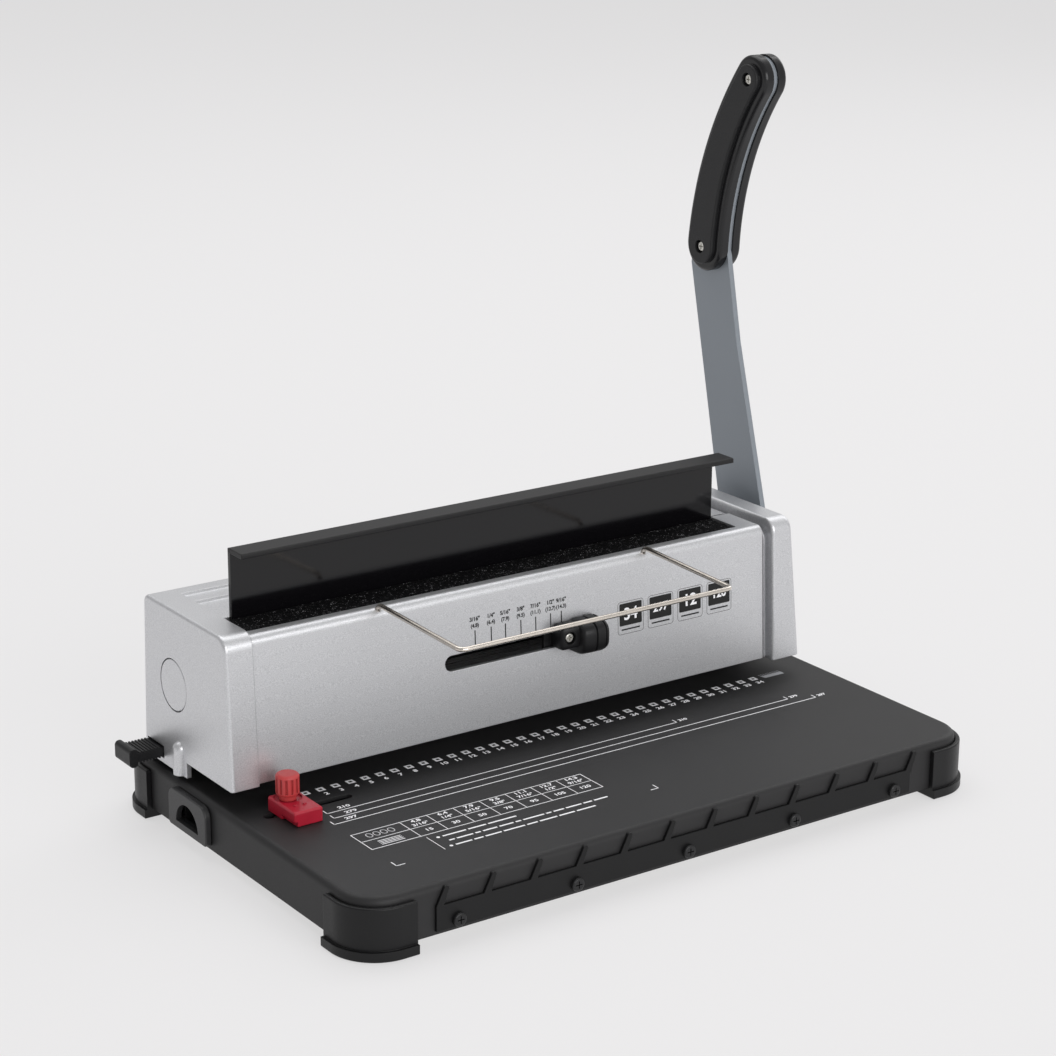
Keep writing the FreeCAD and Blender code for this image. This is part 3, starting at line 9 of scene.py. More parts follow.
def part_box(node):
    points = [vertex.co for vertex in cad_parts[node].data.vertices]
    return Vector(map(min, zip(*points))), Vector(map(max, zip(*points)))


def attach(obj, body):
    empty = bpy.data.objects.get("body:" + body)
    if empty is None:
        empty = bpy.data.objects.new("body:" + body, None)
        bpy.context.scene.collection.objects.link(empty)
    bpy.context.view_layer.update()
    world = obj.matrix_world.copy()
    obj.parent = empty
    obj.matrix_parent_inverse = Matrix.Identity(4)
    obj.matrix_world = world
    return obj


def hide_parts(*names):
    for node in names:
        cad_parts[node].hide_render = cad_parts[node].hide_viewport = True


# Looks for a desk-top wire binding machine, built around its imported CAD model. Lengths are metres;
# the print on its faces is drawn in millimetres, and scaled where it becomes mesh.
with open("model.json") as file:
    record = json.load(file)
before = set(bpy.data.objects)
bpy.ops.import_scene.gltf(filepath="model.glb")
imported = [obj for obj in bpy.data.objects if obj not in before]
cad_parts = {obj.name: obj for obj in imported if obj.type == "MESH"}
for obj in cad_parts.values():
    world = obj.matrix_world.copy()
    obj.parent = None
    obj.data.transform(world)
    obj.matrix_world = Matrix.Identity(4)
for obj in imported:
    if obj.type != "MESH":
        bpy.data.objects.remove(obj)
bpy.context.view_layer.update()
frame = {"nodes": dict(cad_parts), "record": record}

MM = 0.001
BODY = "machine"

# ---------------------------------------------------------------- places, from the frame


def middle_of(node):
    low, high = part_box(node)
    return (low + high) / 2


ROW_X = middle_of("punch_pins").x
PRINT_Y = middle_of("punch_pins").y - 37.5 * MM
TABLE_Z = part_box("base_tray")[1].z
HOLE_PITCH = 8.467 * MM
HOLE_COUNT = 34


# ---------------------------------------------------------------- camera

def make_camera():
    data = bpy.data.cameras.new("camera")
    data.lens = 91.3
    data.sensor_width = 36.0
    data.clip_end = 200.0
    camera = bpy.data.objects.new("camera", data)
    camera.location = (-0.7329, -1.0318, 0.5403)
    camera.rotation_euler = [math.radians(angle) for angle in (72.58, -0.34, -34.92)]
    bpy.context.scene.collection.objects.link(camera)
    bpy.context.scene.camera = camera


# ---------------------------------------------------------------- materials

class Finish:
    """A node material built up from a Principled shader, in the object's own coordinates."""

    def __init__(self, name, roughness=0.5, metallic=0.0, specular=0.5, coat=0.0, coat_roughness=0.1):
        self.material = bpy.data.materials.new(name)
        self.material.use_nodes = True
        self.nodes = self.material.node_tree.nodes
        self.links = self.material.node_tree.links
        self.shader = self.nodes["Principled BSDF"]
        self.shader.inputs["Roughness"].default_value = roughness
        self.shader.inputs["Metallic"].default_value = metallic
        self.shader.inputs["Specular IOR Level"].default_value = specular
        self.shader.inputs["Coat Weight"].default_value = coat
        self.shader.inputs["Coat Roughness"].default_value = coat_roughness
        self.place = self.nodes.new("ShaderNodeTexCoord").outputs["Object"]

    def stretched(self, along):
        """Object coordinates scaled along each axis, for marks that run one way."""
        mapping = self.nodes.new("ShaderNodeMapping")
        mapping.inputs["Scale"].default_value = along
        self.links.new(self.place, mapping.inputs["Vector"])
        return mapping.outputs["Vector"]

    def noise(self, scale, detail=2.0, vector=None):
        texture = self.nodes.new("ShaderNodeTexNoise")
        texture.inputs["Scale"].default_value = scale
        texture.inputs["Detail"].default_value = detail
        self.links.new(vector or self.place, texture.inputs["Vector"])
        return texture.outputs["Fac"]

    def cells(self, scale):
        texture = self.nodes.new("ShaderNodeTexVoronoi")
        texture.inputs["Scale"].default_value = scale
        self.links.new(self.place, texture.inputs["Vector"])
        return texture.outputs["Distance"]

    def span(self, value, low, high, to_low=0.0, to_high=1.0):
        """Maps low..high of a value to to_low..to_high."""
        node = self.nodes.new("ShaderNodeMapRange")
        limits = {"From Min": low, "From Max": high, "To Min": to_low, "To Max": to_high}
        for name, number in limits.items():
            node.inputs[name].default_value = number
        self.links.new(value, node.inputs["Value"])
        return node.outputs["Result"]

    def height(self, axis):
        split = self.nodes.new("ShaderNodeSeparateXYZ")
        self.links.new(self.place, split.inputs["Vector"])
        return split.outputs[axis]

    def maths(self, operation, first, second=0.0):
        """A number node on a value and a second value or plain number."""
        node = self.nodes.new("ShaderNodeMath")
        node.operation = operation
        self.links.new(first, node.inputs[0])
        if isinstance(second, float):
            node.inputs[1].default_value = second
        else:
            self.links.new(second, node.inputs[1])
        return node.outputs[0]

    def colours(self, factor, first, second):
        mix = self.nodes.new("ShaderNodeMix")
        mix.data_type = "RGBA"
        self.links.new(factor, mix.inputs["Factor"])
        for socket, colour in ((mix.inputs[6], first), (mix.inputs[7], second)):
            if isinstance(colour, tuple):
                socket.default_value = (*colour, 1)
            else:
                self.links.new(colour, socket)
        return mix.outputs[2]

    def paint(self, colour):
        self.links.new(colour, self.shader.inputs["Base Color"])
        return self

    def rough(self, value):
        self.links.new(value, self.shader.inputs["Roughness"])
        return self

    def relief(self, value, depth, strength=1.0, edge=0.0):
        """Bump from a value, over edges rounded by a small radius."""
        bump = self.nodes.new("ShaderNodeBump")
        bump.inputs["Distance"].default_value = depth
        bump.inputs["Strength"].default_value = strength
        self.links.new(value, bump.inputs["Height"])
        if edge:
            bevel = self.nodes.new("ShaderNodeBevel")
            bevel.samples = 4
            bevel.inputs["Radius"].default_value = edge
            self.links.new(bevel.outputs["Normal"], bump.inputs["Normal"])
        self.links.new(bump.outputs["Normal"], self.shader.inputs["Normal"])
        return self


def silver_paint():
    """Satin silver paint: metal flakes under a thin clear coat, with a faint orange peel."""
    finish = Finish("silver_paint", roughness=0.36, metallic=0.8, coat=0.15, coat_roughness=0.2)
    flakes = finish.span(finish.noise(2600, 1.0), 0.35, 0.68)
    finish.paint(finish.colours(flakes, (0.55, 0.555, 0.572), (0.73, 0.735, 0.752)))
    finish.rough(finish.span(finish.noise(1600, 2.0), 0.3, 0.7, 0.36, 0.44))
    return finish.relief(finish.noise(900, 3.0), 0.00006, 0.16, edge=0.0005).material


def black_powder_paint():
    """Fine-textured powder paint on the base, charcoal where the light meets its grain."""
    finish = Finish("black_powder_paint", roughness=0.5, specular=0.44)
    cloud = finish.noise(60, 4.0)
    finish.paint(finish.colours(cloud, (0.009, 0.0088, 0.0094), (0.013, 0.0126, 0.0134)))
    finish.rough(finish.span(finish.noise(2600, 2.0), 0.3, 0.7, 0.50, 0.62))
    return finish.relief(finish.noise(3200, 3.0), 0.00008, 0.35, edge=0.0005).material


def moulded(name, dark, light, roughness, grain_depth, grain_scale=2200, edge=0.0005, specular=0.5):
    """Moulded plastic with spark-eroded grain and slight flow marks."""
    finish = Finish(name, roughness=roughness, specular=specular)
    flow = finish.noise(45, 5.0)
    finish.paint(finish.colours(flow, dark, light))
    wear = finish.noise(grain_scale * 0.6, 2.0)
    finish.rough(finish.span(wear, 0.3, 0.7, roughness - 0.05, roughness + 0.07))
    return finish.relief(finish.noise(grain_scale, 3.0), grain_depth, 0.5, edge=edge).material


def grip_plastic():
    """Leather-like cell grain on the grip's raised panels, and a polished rim round them."""
    finish = Finish("grip_plastic", roughness=0.46, specular=0.36)
    finish.paint(finish.colours(finish.noise(70, 4.0), (0.008, 0.008, 0.009), (0.012, 0.012, 0.013)))
    centre = (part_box("grip_half_left")[0].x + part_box("grip_half_right")[1].x) / 2
    offset = finish.maths("ABSOLUTE", finish.maths("SUBTRACT", finish.height("X"), centre))
    panel = finish.span(offset, 7.7 * MM, 8.3 * MM)
    finish.rough(finish.span(panel, 0.0, 1.0, 0.20, 0.5))
    pebble = finish.maths("MULTIPLY", finish.span(finish.cells(1500), 0.0, 0.75), panel)
    return finish.relief(pebble, 0.00012, 0.55, edge=0.0005).material


def brushed(name, dark, light, roughness, along=(1, 60, 60), scale=35, edge=0.0003, metallic=1.0):
    """Metal with fine lines that run one way."""
    finish = Finish(name, roughness=roughness, metallic=metallic)
    lines = finish.noise(scale, 3.0, finish.stretched(along))
    finish.paint(finish.colours(lines, dark, light))
    finish.rough(finish.span(lines, 0.3, 0.7, roughness - 0.06, roughness + 0.08))
    return finish.relief(lines, 0.00003, 0.2, edge=edge).material


def closing_bar_lacquer():
    """Gloss black lacquer on the plate; its top lip is satin, and painted a lighter grey-black as a painted
    sheen.
    """
    finish = Finish("closing_bar_lacquer", roughness=0.12, specular=0.38)
    lip_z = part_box("closing_bar")[1].z
    lip = finish.span(finish.height("Z"), lip_z - 2.7 * MM, lip_z - 2.3 * MM)
    # The top lip's lighter colour is a painted sheen; its higher roughness is the satin finish.
    finish.paint(finish.colours(lip, (0.0035, 0.0032, 0.004), (0.006, 0.0057, 0.0063)))
    finish.rough(finish.span(lip, 0.0, 1.0, 0.11, 0.5))
    return finish.relief(finish.noise(420, 2.0), 0.00004, 0.06, edge=0.0009).material


def grit():
    """Anti-slip strip: black mineral grit, its specks painted bright as painted glints where the facets
    would catch the light.
    """
    finish = Finish("grit", roughness=0.8, specular=0.08)
    speck = finish.span(finish.cells(1300), 0.12, 0.30, 1.0, 0.0)
    patch = finish.span(finish.noise(520, 3.0), 0.50, 0.62)
    painted_glints = finish.maths("MULTIPLY", speck, patch)
    # Painted glints: bright specks in the colour, standing in for light caught by the grit's facets.
    finish.paint(finish.colours(painted_glints, (0.004, 0.004, 0.0045), (0.62, 0.62, 0.64)))
    finish.rough(finish.span(painted_glints, 0.0, 1.0, 0.85, 0.25))
    return finish.relief(finish.noise(2200, 2.0), 0.0002, 0.8).material


def red_plastic(name, dark, light, roughness):
    finish = Finish(name, roughness=roughness, specular=0.45)
    finish.paint(finish.colours(finish.noise(120, 4.0), dark, light))
    finish.rough(finish.span(finish.noise(1400, 2.0), 0.3, 0.7, roughness - 0.05, roughness + 0.08))
    return finish.relief(finish.noise(1800, 3.0), 0.00005, 0.4, edge=0.0005).material


def nickel_wire():
    """Warm nickel plate on drawn wire, with faint drawing lines."""
    finish = Finish("nickel_wire", roughness=0.26, metallic=1.0)
    finish.paint(finish.colours(finish.noise(60, 2.0), (0.62, 0.57, 0.51), (0.74, 0.69, 0.63)))
    finish.rough(finish.span(finish.noise(80, 2.0), 0.3, 0.7, 0.22, 0.30))
    return finish.relief(finish.noise(300, 2.0), 0.00001, 0.05).material


def printed(name, dark, light):
    """Screen-printed ink, slightly uneven."""
    finish = Finish(name, roughness=0.55, specular=0.3)
    finish.paint(finish.colours(finish.noise(900, 3.0), dark, light))
    return finish.relief(finish.noise(2500, 2.0), 0.00002, 0.3).material


MATERIALS = {
    "casing_paint": silver_paint(),
    "base_paint": black_powder_paint(),
    "guard_plastic": moulded("guard_plastic", (0.006, 0.006, 0.0065), (0.009, 0.009, 0.0095), 0.38, 0.00006,
                             specular=0.26),
    "foot_rubber": moulded("foot_rubber", (0.012, 0.012, 0.012), (0.017, 0.017, 0.017), 0.8, 0.0001),
    "zinc_steel": brushed("zinc_steel", (0.50, 0.50, 0.47), (0.62, 0.62, 0.58), 0.34),
    "bright_steel": brushed("bright_steel", (0.52, 0.52, 0.53), (0.64, 0.64, 0.65), 0.24),
    "tool_steel": brushed("tool_steel", (0.40, 0.40, 0.41), (0.50, 0.50, 0.51), 0.28),
    "spring_steel": brushed("spring_steel", (0.40, 0.40, 0.41), (0.52, 0.52, 0.53), 0.3),
    "black_steel": brushed("black_steel", (0.012, 0.012, 0.013), (0.022, 0.022, 0.023), 0.38, metallic=0.4),
    "bed_black": moulded("bed_black", (0.012, 0.012, 0.013), (0.018, 0.018, 0.019), 0.5, 0.00005),
    "strip_rubber": grit(),
    "bar_black": closing_bar_lacquer(),
    "bronze_bush": brushed("bronze_bush", (0.42, 0.28, 0.12), (0.52, 0.36, 0.17), 0.42),
    "blade_paint": brushed("blade_paint", (0.230, 0.254, 0.282), (0.265, 0.290, 0.320), 0.42,
                           along=(8, 8, 1), scale=220, metallic=0.35),
    "grip_plastic": grip_plastic(),
    "knob_plastic": moulded("knob_plastic", (0.007, 0.007, 0.0075), (0.011, 0.011, 0.012), 0.38, 0.00005,
                            specular=0.28),
    "stop_red": red_plastic("stop_red", (0.37, 0.006, 0.022), (0.46, 0.011, 0.034), 0.36),
    "stop_knob_red": red_plastic("stop_knob_red", (0.46, 0.036, 0.040), (0.54, 0.060, 0.060), 0.42),
    "rest_nickel": nickel_wire(),
    "drawer_plastic": moulded("drawer_plastic", (0.022, 0.022, 0.023), (0.028, 0.028, 0.029), 0.44,
                              0.00006),
}
WHITE_INK = printed("white_ink", (0.90, 0.90, 0.92), (0.98, 0.98, 1.0))
BLACK_INK = printed("black_ink", (0.010, 0.010, 0.010), (0.016, 0.016, 0.016))
GREY_INK = printed("grey_ink", (0.46, 0.47, 0.50), (0.56, 0.57, 0.60))
SCREW_BRIGHT = brushed("screw_bright", (0.55, 0.54, 0.50), (0.68, 0.67, 0.62), 0.28)
# The hook rack takes a darker copy of the base's black paint: painted shade on the tray's front wall.
RAIL_PAINTED_SHADE = moulded("rail_painted_shade", (0.005, 0.005, 0.0054), (0.008, 0.008, 0.0084), 0.42, 0.00006,
                     specular=0.24)
OWN_LOOKS = {"grip_screws": SCREW_BRIGHT, "selector_screw": SCREW_BRIGHT,
             "selector_carriage": MATERIALS["black_steel"], "hook_rack": RAIL_PAINTED_SHADE}


def dress_cad_nodes():
    """Gives every CAD node the material of its slot in the record, or one of its own."""
    slots = {part["node"]: part["material_slot"] for part in frame["record"]["subparts"]}
    for name, piece in frame["nodes"].items():
        material = OWN_LOOKS.get(name, MATERIALS[slots[name]])
        piece.data.materials.clear()
        piece.data.materials.append(material)


# ---------------------------------------------------------------- pieces

def add_piece(name, mesh, material, body, replaces=()):
    piece = bpy.data.objects.new(name, mesh)
    bpy.context.scene.collection.objects.link(piece)
    mesh.materials.append(material)
    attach(piece, body)
    if replaces:
        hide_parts(*replaces)
    return piece


def mesh_from(name, shape, smooth=False):
    mesh = bpy.data.meshes.new(name)
    bmesh.ops.recalc_face_normals(shape, faces=shape.faces)
    shape.to_mesh(mesh)
    shape.free()
    for face in mesh.polygons:
        face.use_smooth = smooth
    return mesh


class Print:
    """A layer of ink drawn on a flat face: across is to the right, up is up the face."""

    THICK = 0.03 * MM

    def __init__(self):
        self.shape = bmesh.new()

    def patch(self, corners):
        """A solid patch of ink inside the corners."""
        low = [self.shape.verts.new((x * MM, y * MM, 0)) for x, y in corners]
        high = [self.shape.verts.new((x * MM, y * MM, self.THICK)) for x, y in corners]
        self.shape.faces.new(low[::-1])
        self.shape.faces.new(high)
        for i in range(len(corners)):
            j = (i + 1) % len(corners)
            self.shape.faces.new((low[i], low[j], high[j], high[i]))

    def line(self, start, end, width):
        along = (Vector(end) - Vector(start)).normalized()
        side = Vector((-along.y, along.x)) * width / 2
        cap = along * width / 2
        first, last = Vector(start) - cap, Vector(end) + cap
        self.patch([first - side, last - side, last + side, first + side])

    def path(self, points, width):
        for start, end in zip(points, points[1:]):
            self.line(start, end, width)

    def block(self, low, high):
        self.patch([(low[0], low[1]), (high[0], low[1]), (high[0], high[1]), (low[0], high[1])])

    def ring(self, low, high, width, radius=0.0):
        """The outline of a rectangle, with rounded corners if radius is given."""
        outer = rounded_corners(low, high, radius)
        inner = rounded_corners((low[0] + width, low[1] + width), (high[0] - width, high[1] - width),
                                max(radius - width, 0.0))
        for i in range(len(outer)):
            j = (i + 1) % len(outer)
            self.patch([outer[i], outer[j], inner[j], inner[i]])

    def text(self, words, centre, size, bold=0.0, wide=1.0):
        curve = bpy.data.curves.new("text", "FONT")
        curve.body = words
        curve.size = size * MM
        curve.offset = bold * MM
        curve.extrude = self.THICK / 2
        curve.align_x = "CENTER"
        curve.align_y = "CENTER"
        curve.resolution_u = 3
        holder = bpy.data.objects.new("text", curve)
        mesh = bpy.data.meshes.new_from_object(holder)
        mesh.transform(Matrix.Translation((centre[0] * MM, centre[1] * MM, self.THICK / 2))
                       @ Matrix.Diagonal((wide, 1, 1, 1)))
        self.shape.from_mesh(mesh)
        bpy.data.objects.remove(holder)
        bpy.data.curves.remove(curve)
        bpy.data.meshes.remove(mesh)

    def lay(self, name, place, material):
        self.shape.transform(place)
        add_piece(name, mesh_from(name, self.shape), material, BODY)


def rounded_corners(low, high, radius):
    """Corner points of a rectangle, the same number for any radius."""
    steps = 4
    left, bottom = low[0] + radius, low[1] + radius
    right, top = high[0] - radius, high[1] - radius
    points = []
    for quarter, (x, y) in enumerate(((right, top), (left, top), (left, bottom), (right, bottom))):
        for step in range(steps + 1):
            angle = math.pi / 2 * (quarter + step / steps)
            points.append((x + radius * math.cos(angle), y + radius * math.sin(angle)))
    return points


# Each wire size in inches and in millimetres, and the most sheets it closes.
WIRE_SIZES = (("3/16", "4.8", "15"), ("1/4", "6.4", "30"), ("5/16", "7.9", "50"), ("3/8", "9.5", "70"),
              ("7/16", "11.1", "95"), ("1/2", "12.7", "105"), ("9/16", "14.3", "120"))
CHART_LEFT = -147.9


def table_print():
    """White print on the table: a square and a number for each hole, sheet-length lines, a size chart.

    Places are measured from the middle of the row of squares.
    """
    ink = Print()
    half, border, number_drop = 2.05, 1.15, 6.0
    for hole in range(HOLE_COUNT):
        x = (hole - (HOLE_COUNT - 1) / 2) * HOLE_PITCH / MM
        ink.ring((x - half, -half), (x + half, half), border)
        if hole:
            ink.text(str(hole + 1), (x, -number_drop), 4.0, bold=0.13, wide=1.15)
    sheet_lines(ink)
    size_chart(ink)
    note_lines(ink)
    arm = 4.4
    for x, y, side in ((CHART_LEFT, -95.5, 1), (5.6, -90.6, -1)):
        ink.path([(x, y + arm), (x, y), (x + arm * side, y)], 0.5)
    place = Matrix.Translation((ROW_X, PRINT_Y, TABLE_Z))
    ink.lay("table_print", place, WHITE_INK)
    wire_mark(place)


def sheet_lines(ink):
    """A line with raised ends for each sheet length, named in millimetres at both ends."""
    tick = 3.6
    for length, left, right, y in (("210", -143.7, 66.4, -27.2), ("279", -143.7, 135.9, -33.7),
                                   ("297", -147.4, 149.9, -40.0)):
        ink.path([(left, y + tick), (left, y), (right, y), (right, y + tick)], 0.55)
        ink.text(length, (right + 4.9, y + 1.4), 3.1, bold=0.12, wide=1.15)
        ink.text(length, (left + 11.0, y + 3.0), 3.4, bold=0.12, wide=1.3)


def wire_mark(place):
    """A grey bar with nine leaning teeth at the right end of the row of squares."""
    mark = Print()
    left = (HOLE_COUNT / 2) * HOLE_PITCH / MM + 1.5
    right, low, high = left + 14.0, -2.6, 0.6
    mark.patch([(left + 1.0, low), (right, low), (right, high), (left, high)])
    for tooth in range(9):
        x = left + 0.6 + tooth * 1.62
        mark.line((x, 0.4), (x - 0.5, 2.6), 0.35)
    mark.lay("wire_mark", place, GREY_INK)


def size_chart(ink):
    """Seven columns: wire sizes over the thickest block each closes, in sheets."""
    left, right, top, low = CHART_LEFT, -15.6, -54.9, -74.4
    head = 27.0
    step = (right - left - head) / len(WIRE_SIZES)
    middle = (top + low) / 2
    ink.ring((left, low), (right, top), 0.45)
    ink.line((left, middle), (right, middle), 0.4)
    for column in range(len(WIRE_SIZES)):
        x = left + head + step * column
        ink.line((x, low), (x, top), 0.4)
        inch, metric, sheets = WIRE_SIZES[column]
        ink.text(metric, (x + step / 2, top - 2.7), 3.7, bold=0.09, wide=1.2)
        ink.text(inch + "\"", (x + step / 2, top - 6.9), 3.5, bold=0.08, wide=1.2)
        ink.text(sheets, (x + step / 2, middle - 4.9), 3.7, bold=0.08, wide=1.2)
    ring_mark(ink, (left + head / 2, (top + middle) / 2))
    for sheet in range(4):
        y = middle - 2.9 - 1.4 * sheet
        ink.line((left + head / 2 - 6, y), (left + head / 2 + 6, y), 0.5)


def ring_mark(ink, centre):
    """A row of small rings that stands for wire."""
    for x in (-6.0, -2.0, 2.0, 6.0):
        points = []
        for step in range(13):
            angle = 2 * math.pi * step / 12
            points.append((centre[0] + x + 1.5 * math.cos(angle), centre[1] + 2.2 * math.sin(angle)))
        ink.path(points, 0.45)


def note_lines(ink):
    """Two notes as plain dashes in front of the chart, the first over two rows."""
    ink.line((-119.6, -77.0), (-119.6, -92.5), 0.35)
    rows = ((-79.6, True, (13, 10, 16)), (-85.2, False, (3, 9, 3, 8, 8, 3, 12, 3, 6, 9, 5, 8)),
            (-90.8, True, (9, 5, 9, 12, 6, 10, 9, 11)))
    gap, half = 1.3, 0.55
    for y, bullet, dashes in rows:
        x = -112.5
        if bullet:
            ink.patch(rounded_corners((x - 3.4, y - 0.9), (x - 1.6, y + 0.9), 0.88))
        for dash in dashes:
            ink.block((x, y - half), (x + dash, y + half))
            x += dash + gap


# The front cover leans back 3.8 mm over 73.4 mm of height.
COVER_LEAN = math.atan2(3.8, 73.4)
# Where the scale's ticks stand across the cover, one for each wire size.
TICKS = (-40.4, -30.7, -22.1, -12.7, -3.6, 5.6, 12.3)


def cover_place():
    """The plane of the front cover: across is X, up runs up its slope, from the table's height."""
    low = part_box("front_cover")[0]
    foot_y = low.y + (TABLE_Z - low.z) * math.tan(COVER_LEAN)
    lean = Matrix.Rotation(math.pi / 2 - COVER_LEAN, 4, "X")
    return Matrix.Translation((ROW_X, foot_y, TABLE_Z)) @ lean


def cover_print():
    """Black scale over the selector's slot, and four boxed numbers beside it.

    Heights are measured from the floor, and brought down to the table's height.
    """
    ink = Print()
    table = TABLE_Z / MM
    for x, (inch, metric, _) in zip(TICKS, WIRE_SIZES):
        ink.line((x, 86.4 - table), (x, 93.2 - table), 0.65)
        ink.text("(" + metric + ")", (x, 95.9 - table), 2.7, bold=0.11)
        ink.text(inch + "\"", (x, 99.3 - table), 2.9, bold=0.11)
    reverse = Print()
    for place, number in enumerate(("34", "297", "12", "120")):
        left = 47.9 + 19.5 * place
        low = 73.2 - table
        ink.ring((left, low), (left + 16.6, low + 17.6), 0.22, 1.6)
        ink.patch(rounded_corners((left + 1.1, low + 4.6), (left + 15.5, low + 16.6), 0.7))
        ink.block((left + 2.4, low + 2.1), (left + 14.2, low + 2.9))
        reverse.text(number, (left + 8.3, low + 10.4), 9.0 if len(number) < 3 else 6.4, bold=0.2)
    ink.lay("cover_print", cover_place(), BLACK_INK)
    above_black = Matrix.Translation((0, 0, Print.THICK))
    reverse.lay("cover_numbers", cover_place() @ above_black, WHITE_INK)


def grit_strip():
    """The closing bed's strip: a slab whose top is broken up by mineral grit."""
    low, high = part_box("crimping_strip")
    cell = 0.62 * MM
    across = int((high.x - low.x) / cell)
    deep = int((high.y - low.y) / cell)
    shape = bmesh.new()
    rows = []
    for j in range(deep + 1):
        row = []
        for i in range(across + 1):
            x = low.x + (high.x - low.x) * i / across
            y = low.y + (high.y - low.y) * j / deep
            lump = noise.noise(Vector((x, y, 0)) * 900) + 0.6 * noise.noise(Vector((x, y, 3)) * 2300)
            edge = i in (0, across) or j in (0, deep)
            drop = 0.55 if edge else 0.32 - 0.30 * max(-1.0, min(1.0, lump))
            z = high.z - drop * MM
            row.append(shape.verts.new((x, y, z)))
        rows.append(row)
    for j in range(deep):
        for i in range(across):
            shape.faces.new((rows[j][i], rows[j][i + 1], rows[j + 1][i + 1], rows[j + 1][i]))
    rim = rows[0] + [row[-1] for row in rows[1:]] + rows[-1][-2::-1] + [row[0] for row in rows[-2:0:-1]]
    foot = [shape.verts.new((v.co.x, v.co.y, low.z)) for v in rim]
    for i in range(len(rim)):
        j = (i + 1) % len(rim)
        shape.faces.new((rim[i], foot[i], foot[j], rim[j]))
    shape.faces.new(foot[::-1])
    add_piece("grit_strip", mesh_from("grit_strip", shape), MATERIALS["strip_rubber"], BODY,
              ["crimping_strip"])


def lofted(shape, sections):
    """A closed skin through sections that all have the same number of points."""
    loops = [[shape.verts.new(point) for point in section] for section in sections]
    for first, second in zip(loops, loops[1:]):
        for i in range(len(first)):
            j = (i + 1) % len(first)
            shape.faces.new((first[i], first[j], second[j], second[i]))
    shape.faces.new(loops[0][::-1])
    shape.faces.new(loops[-1])


def thumb_section(x, back, depth, centre, half, square):
    """A section across the selector's knob: flat at the back, bowed at the front."""
    points = []
    count = 28
    for i in range(count + 1):
        angle = math.pi * (i / count - 0.5)
        bow = abs(math.cos(angle)) ** square
        rise = math.copysign(abs(math.sin(angle)) ** square, math.sin(angle))
        points.append((x, back - depth * bow, centre + half * rise))
    return points


def selector_knob():
    """A thumb knob: a flat block that holds the screw, beside a bowed and grooved drum."""
    low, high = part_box("selector_knob")
    centre = (low.z + high.z) / 2
    depth = high.y - low.y
    half = (high.z - low.z) / 2
    screw = middle_of("selector_screw")
    shape = bmesh.new()
    block = []
    block_depth, block_half, block_square = depth * 0.62, half * 0.72, 0.34
    for along, inset in ((0.0, 1.6), (0.5, 0.7), (1.6, 0.0), (10.8, 0.0)):
        block.append(thumb_section(low.x + along * MM, high.y, block_depth - inset * MM, screw.z,
                                   block_half - inset * MM, block_square))
    lofted(shape, block)
    drum = []
    drum_left, drum_square = low.x + 10.4 * MM, 0.62
    length = high.x - drum_left
    for share, inset in ((0.0, 2.0), (0.03, 0.9), (0.10, 0.2), (0.44, 0.0), (0.46, 0.9), (0.50, 0.9),
                         (0.52, 0.0), (0.80, 0.0), (0.82, 0.9), (0.86, 1.0), (0.88, 0.3), (0.97, 0.9),
                         (1.0, 2.2)):
        drum.append(thumb_section(drum_left + length * share, high.y, depth - inset * MM, centre,
                                  half - inset * MM, drum_square))
    lofted(shape, drum)
    knob = add_piece("thumb_knob", mesh_from("thumb_knob", shape, smooth=True), MATERIALS["knob_plastic"],
                     "selector", ["selector_knob"])
    well_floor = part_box("selector_screw")[0].y + 1.7 * MM
    bore_out(knob, (screw.x, low.y, screw.z), 3.3 * MM, well_floor - low.y)
    knob.data.set_sharp_from_angle(angle=math.radians(38))


def bore_out(piece, mouth, radius, depth):
    """Sinks a round hole along +Y into a piece."""
    cutter = bmesh.new()
    lead = 4 * MM
    middle = Vector(mouth) + Vector((0, (depth - lead) / 2, 0))
    bmesh.ops.create_cone(cutter, cap_ends=True, segments=40, radius1=radius, radius2=radius,
                          depth=depth + lead,
                          matrix=Matrix.Translation(middle) @ Matrix.Rotation(math.pi / 2, 4, "X"))
    tool = bpy.data.objects.new("cutter", mesh_from("cutter", cutter))
    bpy.context.scene.collection.objects.link(tool)
    cut = piece.modifiers.new("bore", "BOOLEAN")
    cut.operation = "DIFFERENCE"
    cut.object = tool
    bpy.context.view_layer.update()
    mesh = bpy.data.meshes.new_from_object(piece.evaluated_get(bpy.context.evaluated_depsgraph_get()))
    piece.modifiers.clear()
    piece.data = mesh
    bpy.data.objects.remove(tool)


def wire_rest():
    """The wire rest as one smooth round rod, bent where the CAD rod bends."""
    low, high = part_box("wire_rest_rod")
    radius, bend, droop = 1.25 * MM, 4.0 * MM, 1.9 * MM
    left, right, front, foot = low.x + radius, high.x - radius, low.y + radius, high.y - radius
    crown = high.z - radius
    corners = [Vector(point) for point in (
        (left, foot, low.z), (left, foot, crown), (left, front, crown - droop),
        (right, front, crown - droop), (right, foot, crown), (right, foot, low.z))]
    path = [corners[0]]
    for before, corner, after in zip(corners, corners[1:], corners[2:]):
        back, ahead = (before - corner).normalized(), (after - corner).normalized()
        for step in range(11):
            share = step / 10
            path.append(corner + back * bend * (1 - share) ** 2 + ahead * bend * share ** 2)
    path.append(corners[-1])
    shape = bmesh.new()
    side = Vector((1, 0, 0))
    sides = 24
    rings = []
    for i, point in enumerate(path):
        along = (path[min(i + 1, len(path) - 1)] - path[max(i - 1, 0)]).normalized()
        side = (side - along * side.dot(along)).normalized()
        other = along.cross(side)
        ring = []
        for corner in range(sides):
            angle = math.tau * corner / sides
            ring.append(point + (side * math.cos(angle) + other * math.sin(angle)) * radius)
        rings.append(ring)
    lofted(shape, rings)
    add_piece("wire_rest_bar", mesh_from("wire_rest_bar", shape, smooth=True), MATERIALS["rest_nickel"],
              "wire_rest", ["wire_rest_rod"])


# ---------------------------------------------------------------- stage

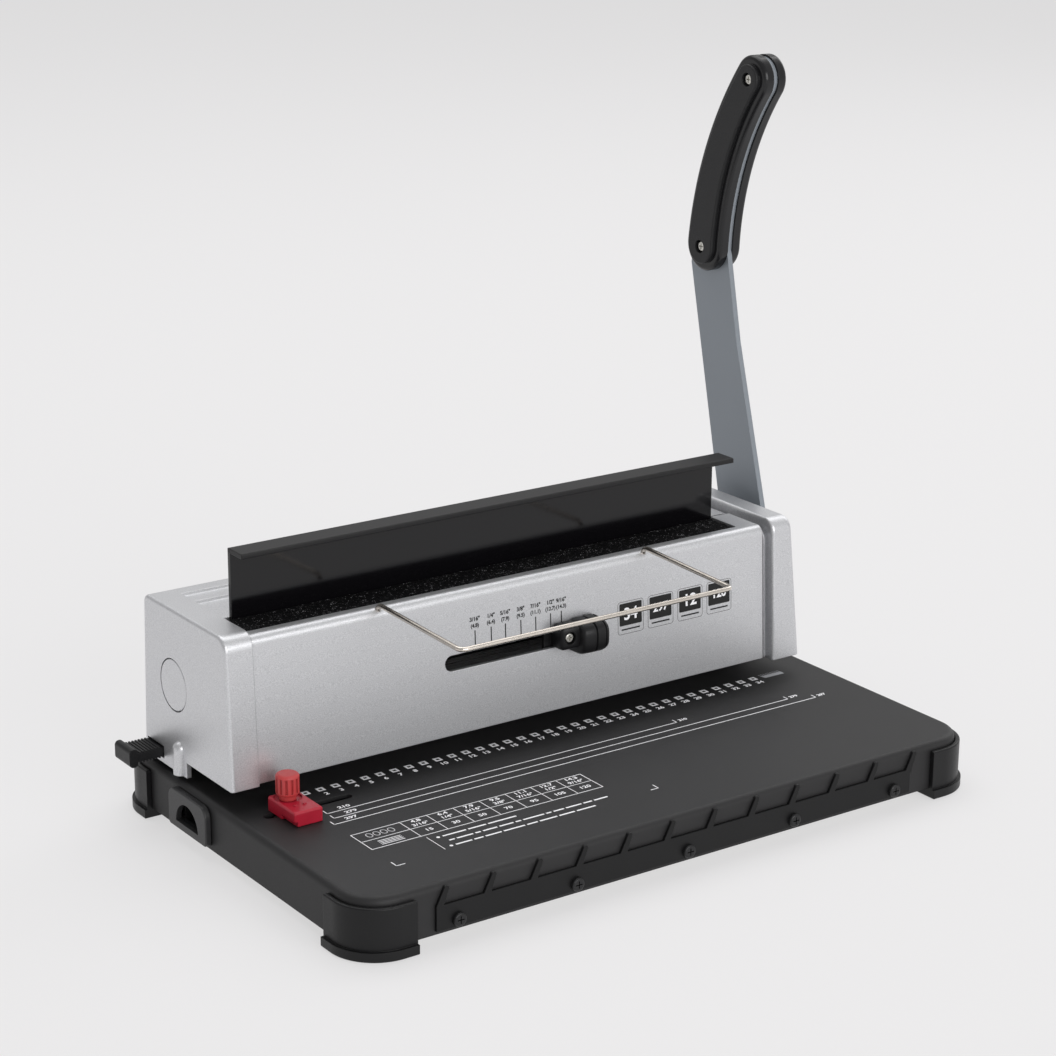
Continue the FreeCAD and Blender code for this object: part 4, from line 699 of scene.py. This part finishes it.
def floor_material():
    """Matt white paper that glows a little, so the floor meets the background without an edge."""
    material = bpy.data.materials.new("floor")
    material.use_nodes = True
    shader = material.node_tree.nodes["Principled BSDF"]
    shader.inputs["Base Color"].default_value = (0.26, 0.258, 0.26, 1)
    shader.inputs["Roughness"].default_value = 0.9
    shader.inputs["Specular IOR Level"].default_value = 0.0
    shader.inputs["Emission Color"].default_value = (1.0, 0.992, 0.996, 1)
    shader.inputs["Emission Strength"].default_value = 0.57
    return material


def make_floor():
    shape = bmesh.new()
    bmesh.ops.create_grid(shape, x_segments=1, y_segments=1, size=60)
    mesh = mesh_from("floor", shape)
    floor = bpy.data.objects.new("floor", mesh)
    mesh.materials.append(floor_material())
    bpy.context.scene.collection.objects.link(floor)


def soft_light(name, place, aim, size, power):
    data = bpy.data.lights.new(name, "AREA")
    data.shape = "RECTANGLE"
    data.size, data.size_y = size
    data.energy = power
    light = bpy.data.objects.new(name, data)
    light.location = place
    light.rotation_euler = (Vector(aim) - Vector(place)).to_track_quat("-Z", "Y").to_euler()
    bpy.context.scene.collection.objects.link(light)


def make_world():
    """A plain white studio, a little brighter towards the right."""
    world = bpy.data.worlds.new("studio")
    world.use_nodes = True
    nodes, links = world.node_tree.nodes, world.node_tree.links
    background = nodes["Background"]
    background.inputs["Color"].default_value = (1.0, 0.995, 0.998, 1)
    direction = nodes.new("ShaderNodeTexCoord")
    parts = nodes.new("ShaderNodeSeparateXYZ")
    strength = nodes.new("ShaderNodeMapRange")
    for socket, value in (("From Min", -1.0), ("From Max", 1.0), ("To Min", 0.40), ("To Max", 0.66)):
        strength.inputs[socket].default_value = value
    links.new(direction.outputs["Generated"], parts.inputs[0])
    links.new(parts.outputs["X"], strength.inputs["Value"])
    links.new(strength.outputs[0], background.inputs["Strength"])
    bpy.context.scene.world = world


def make_stage():
    make_world()
    make_floor()
    soft_light("overhead", (0.3, 0.9, 2.4), (0, 0.05, 0.1), (2.6, 2.0), 26)
    soft_light("front_fill", (-0.1, -2.8, 1.1), (0, 0, 0.08), (2.6, 1.4), 44)
    soft_light("right_rim", (2.2, 0.6, 1.5), (0, 0, 0.15), (1.2, 1.6), 10)
    bpy.context.scene.view_settings.view_transform = "Standard"


make_camera()
dress_cad_nodes()
table_print()
cover_print()
grit_strip()
selector_knob()
wire_rest()
make_stage()
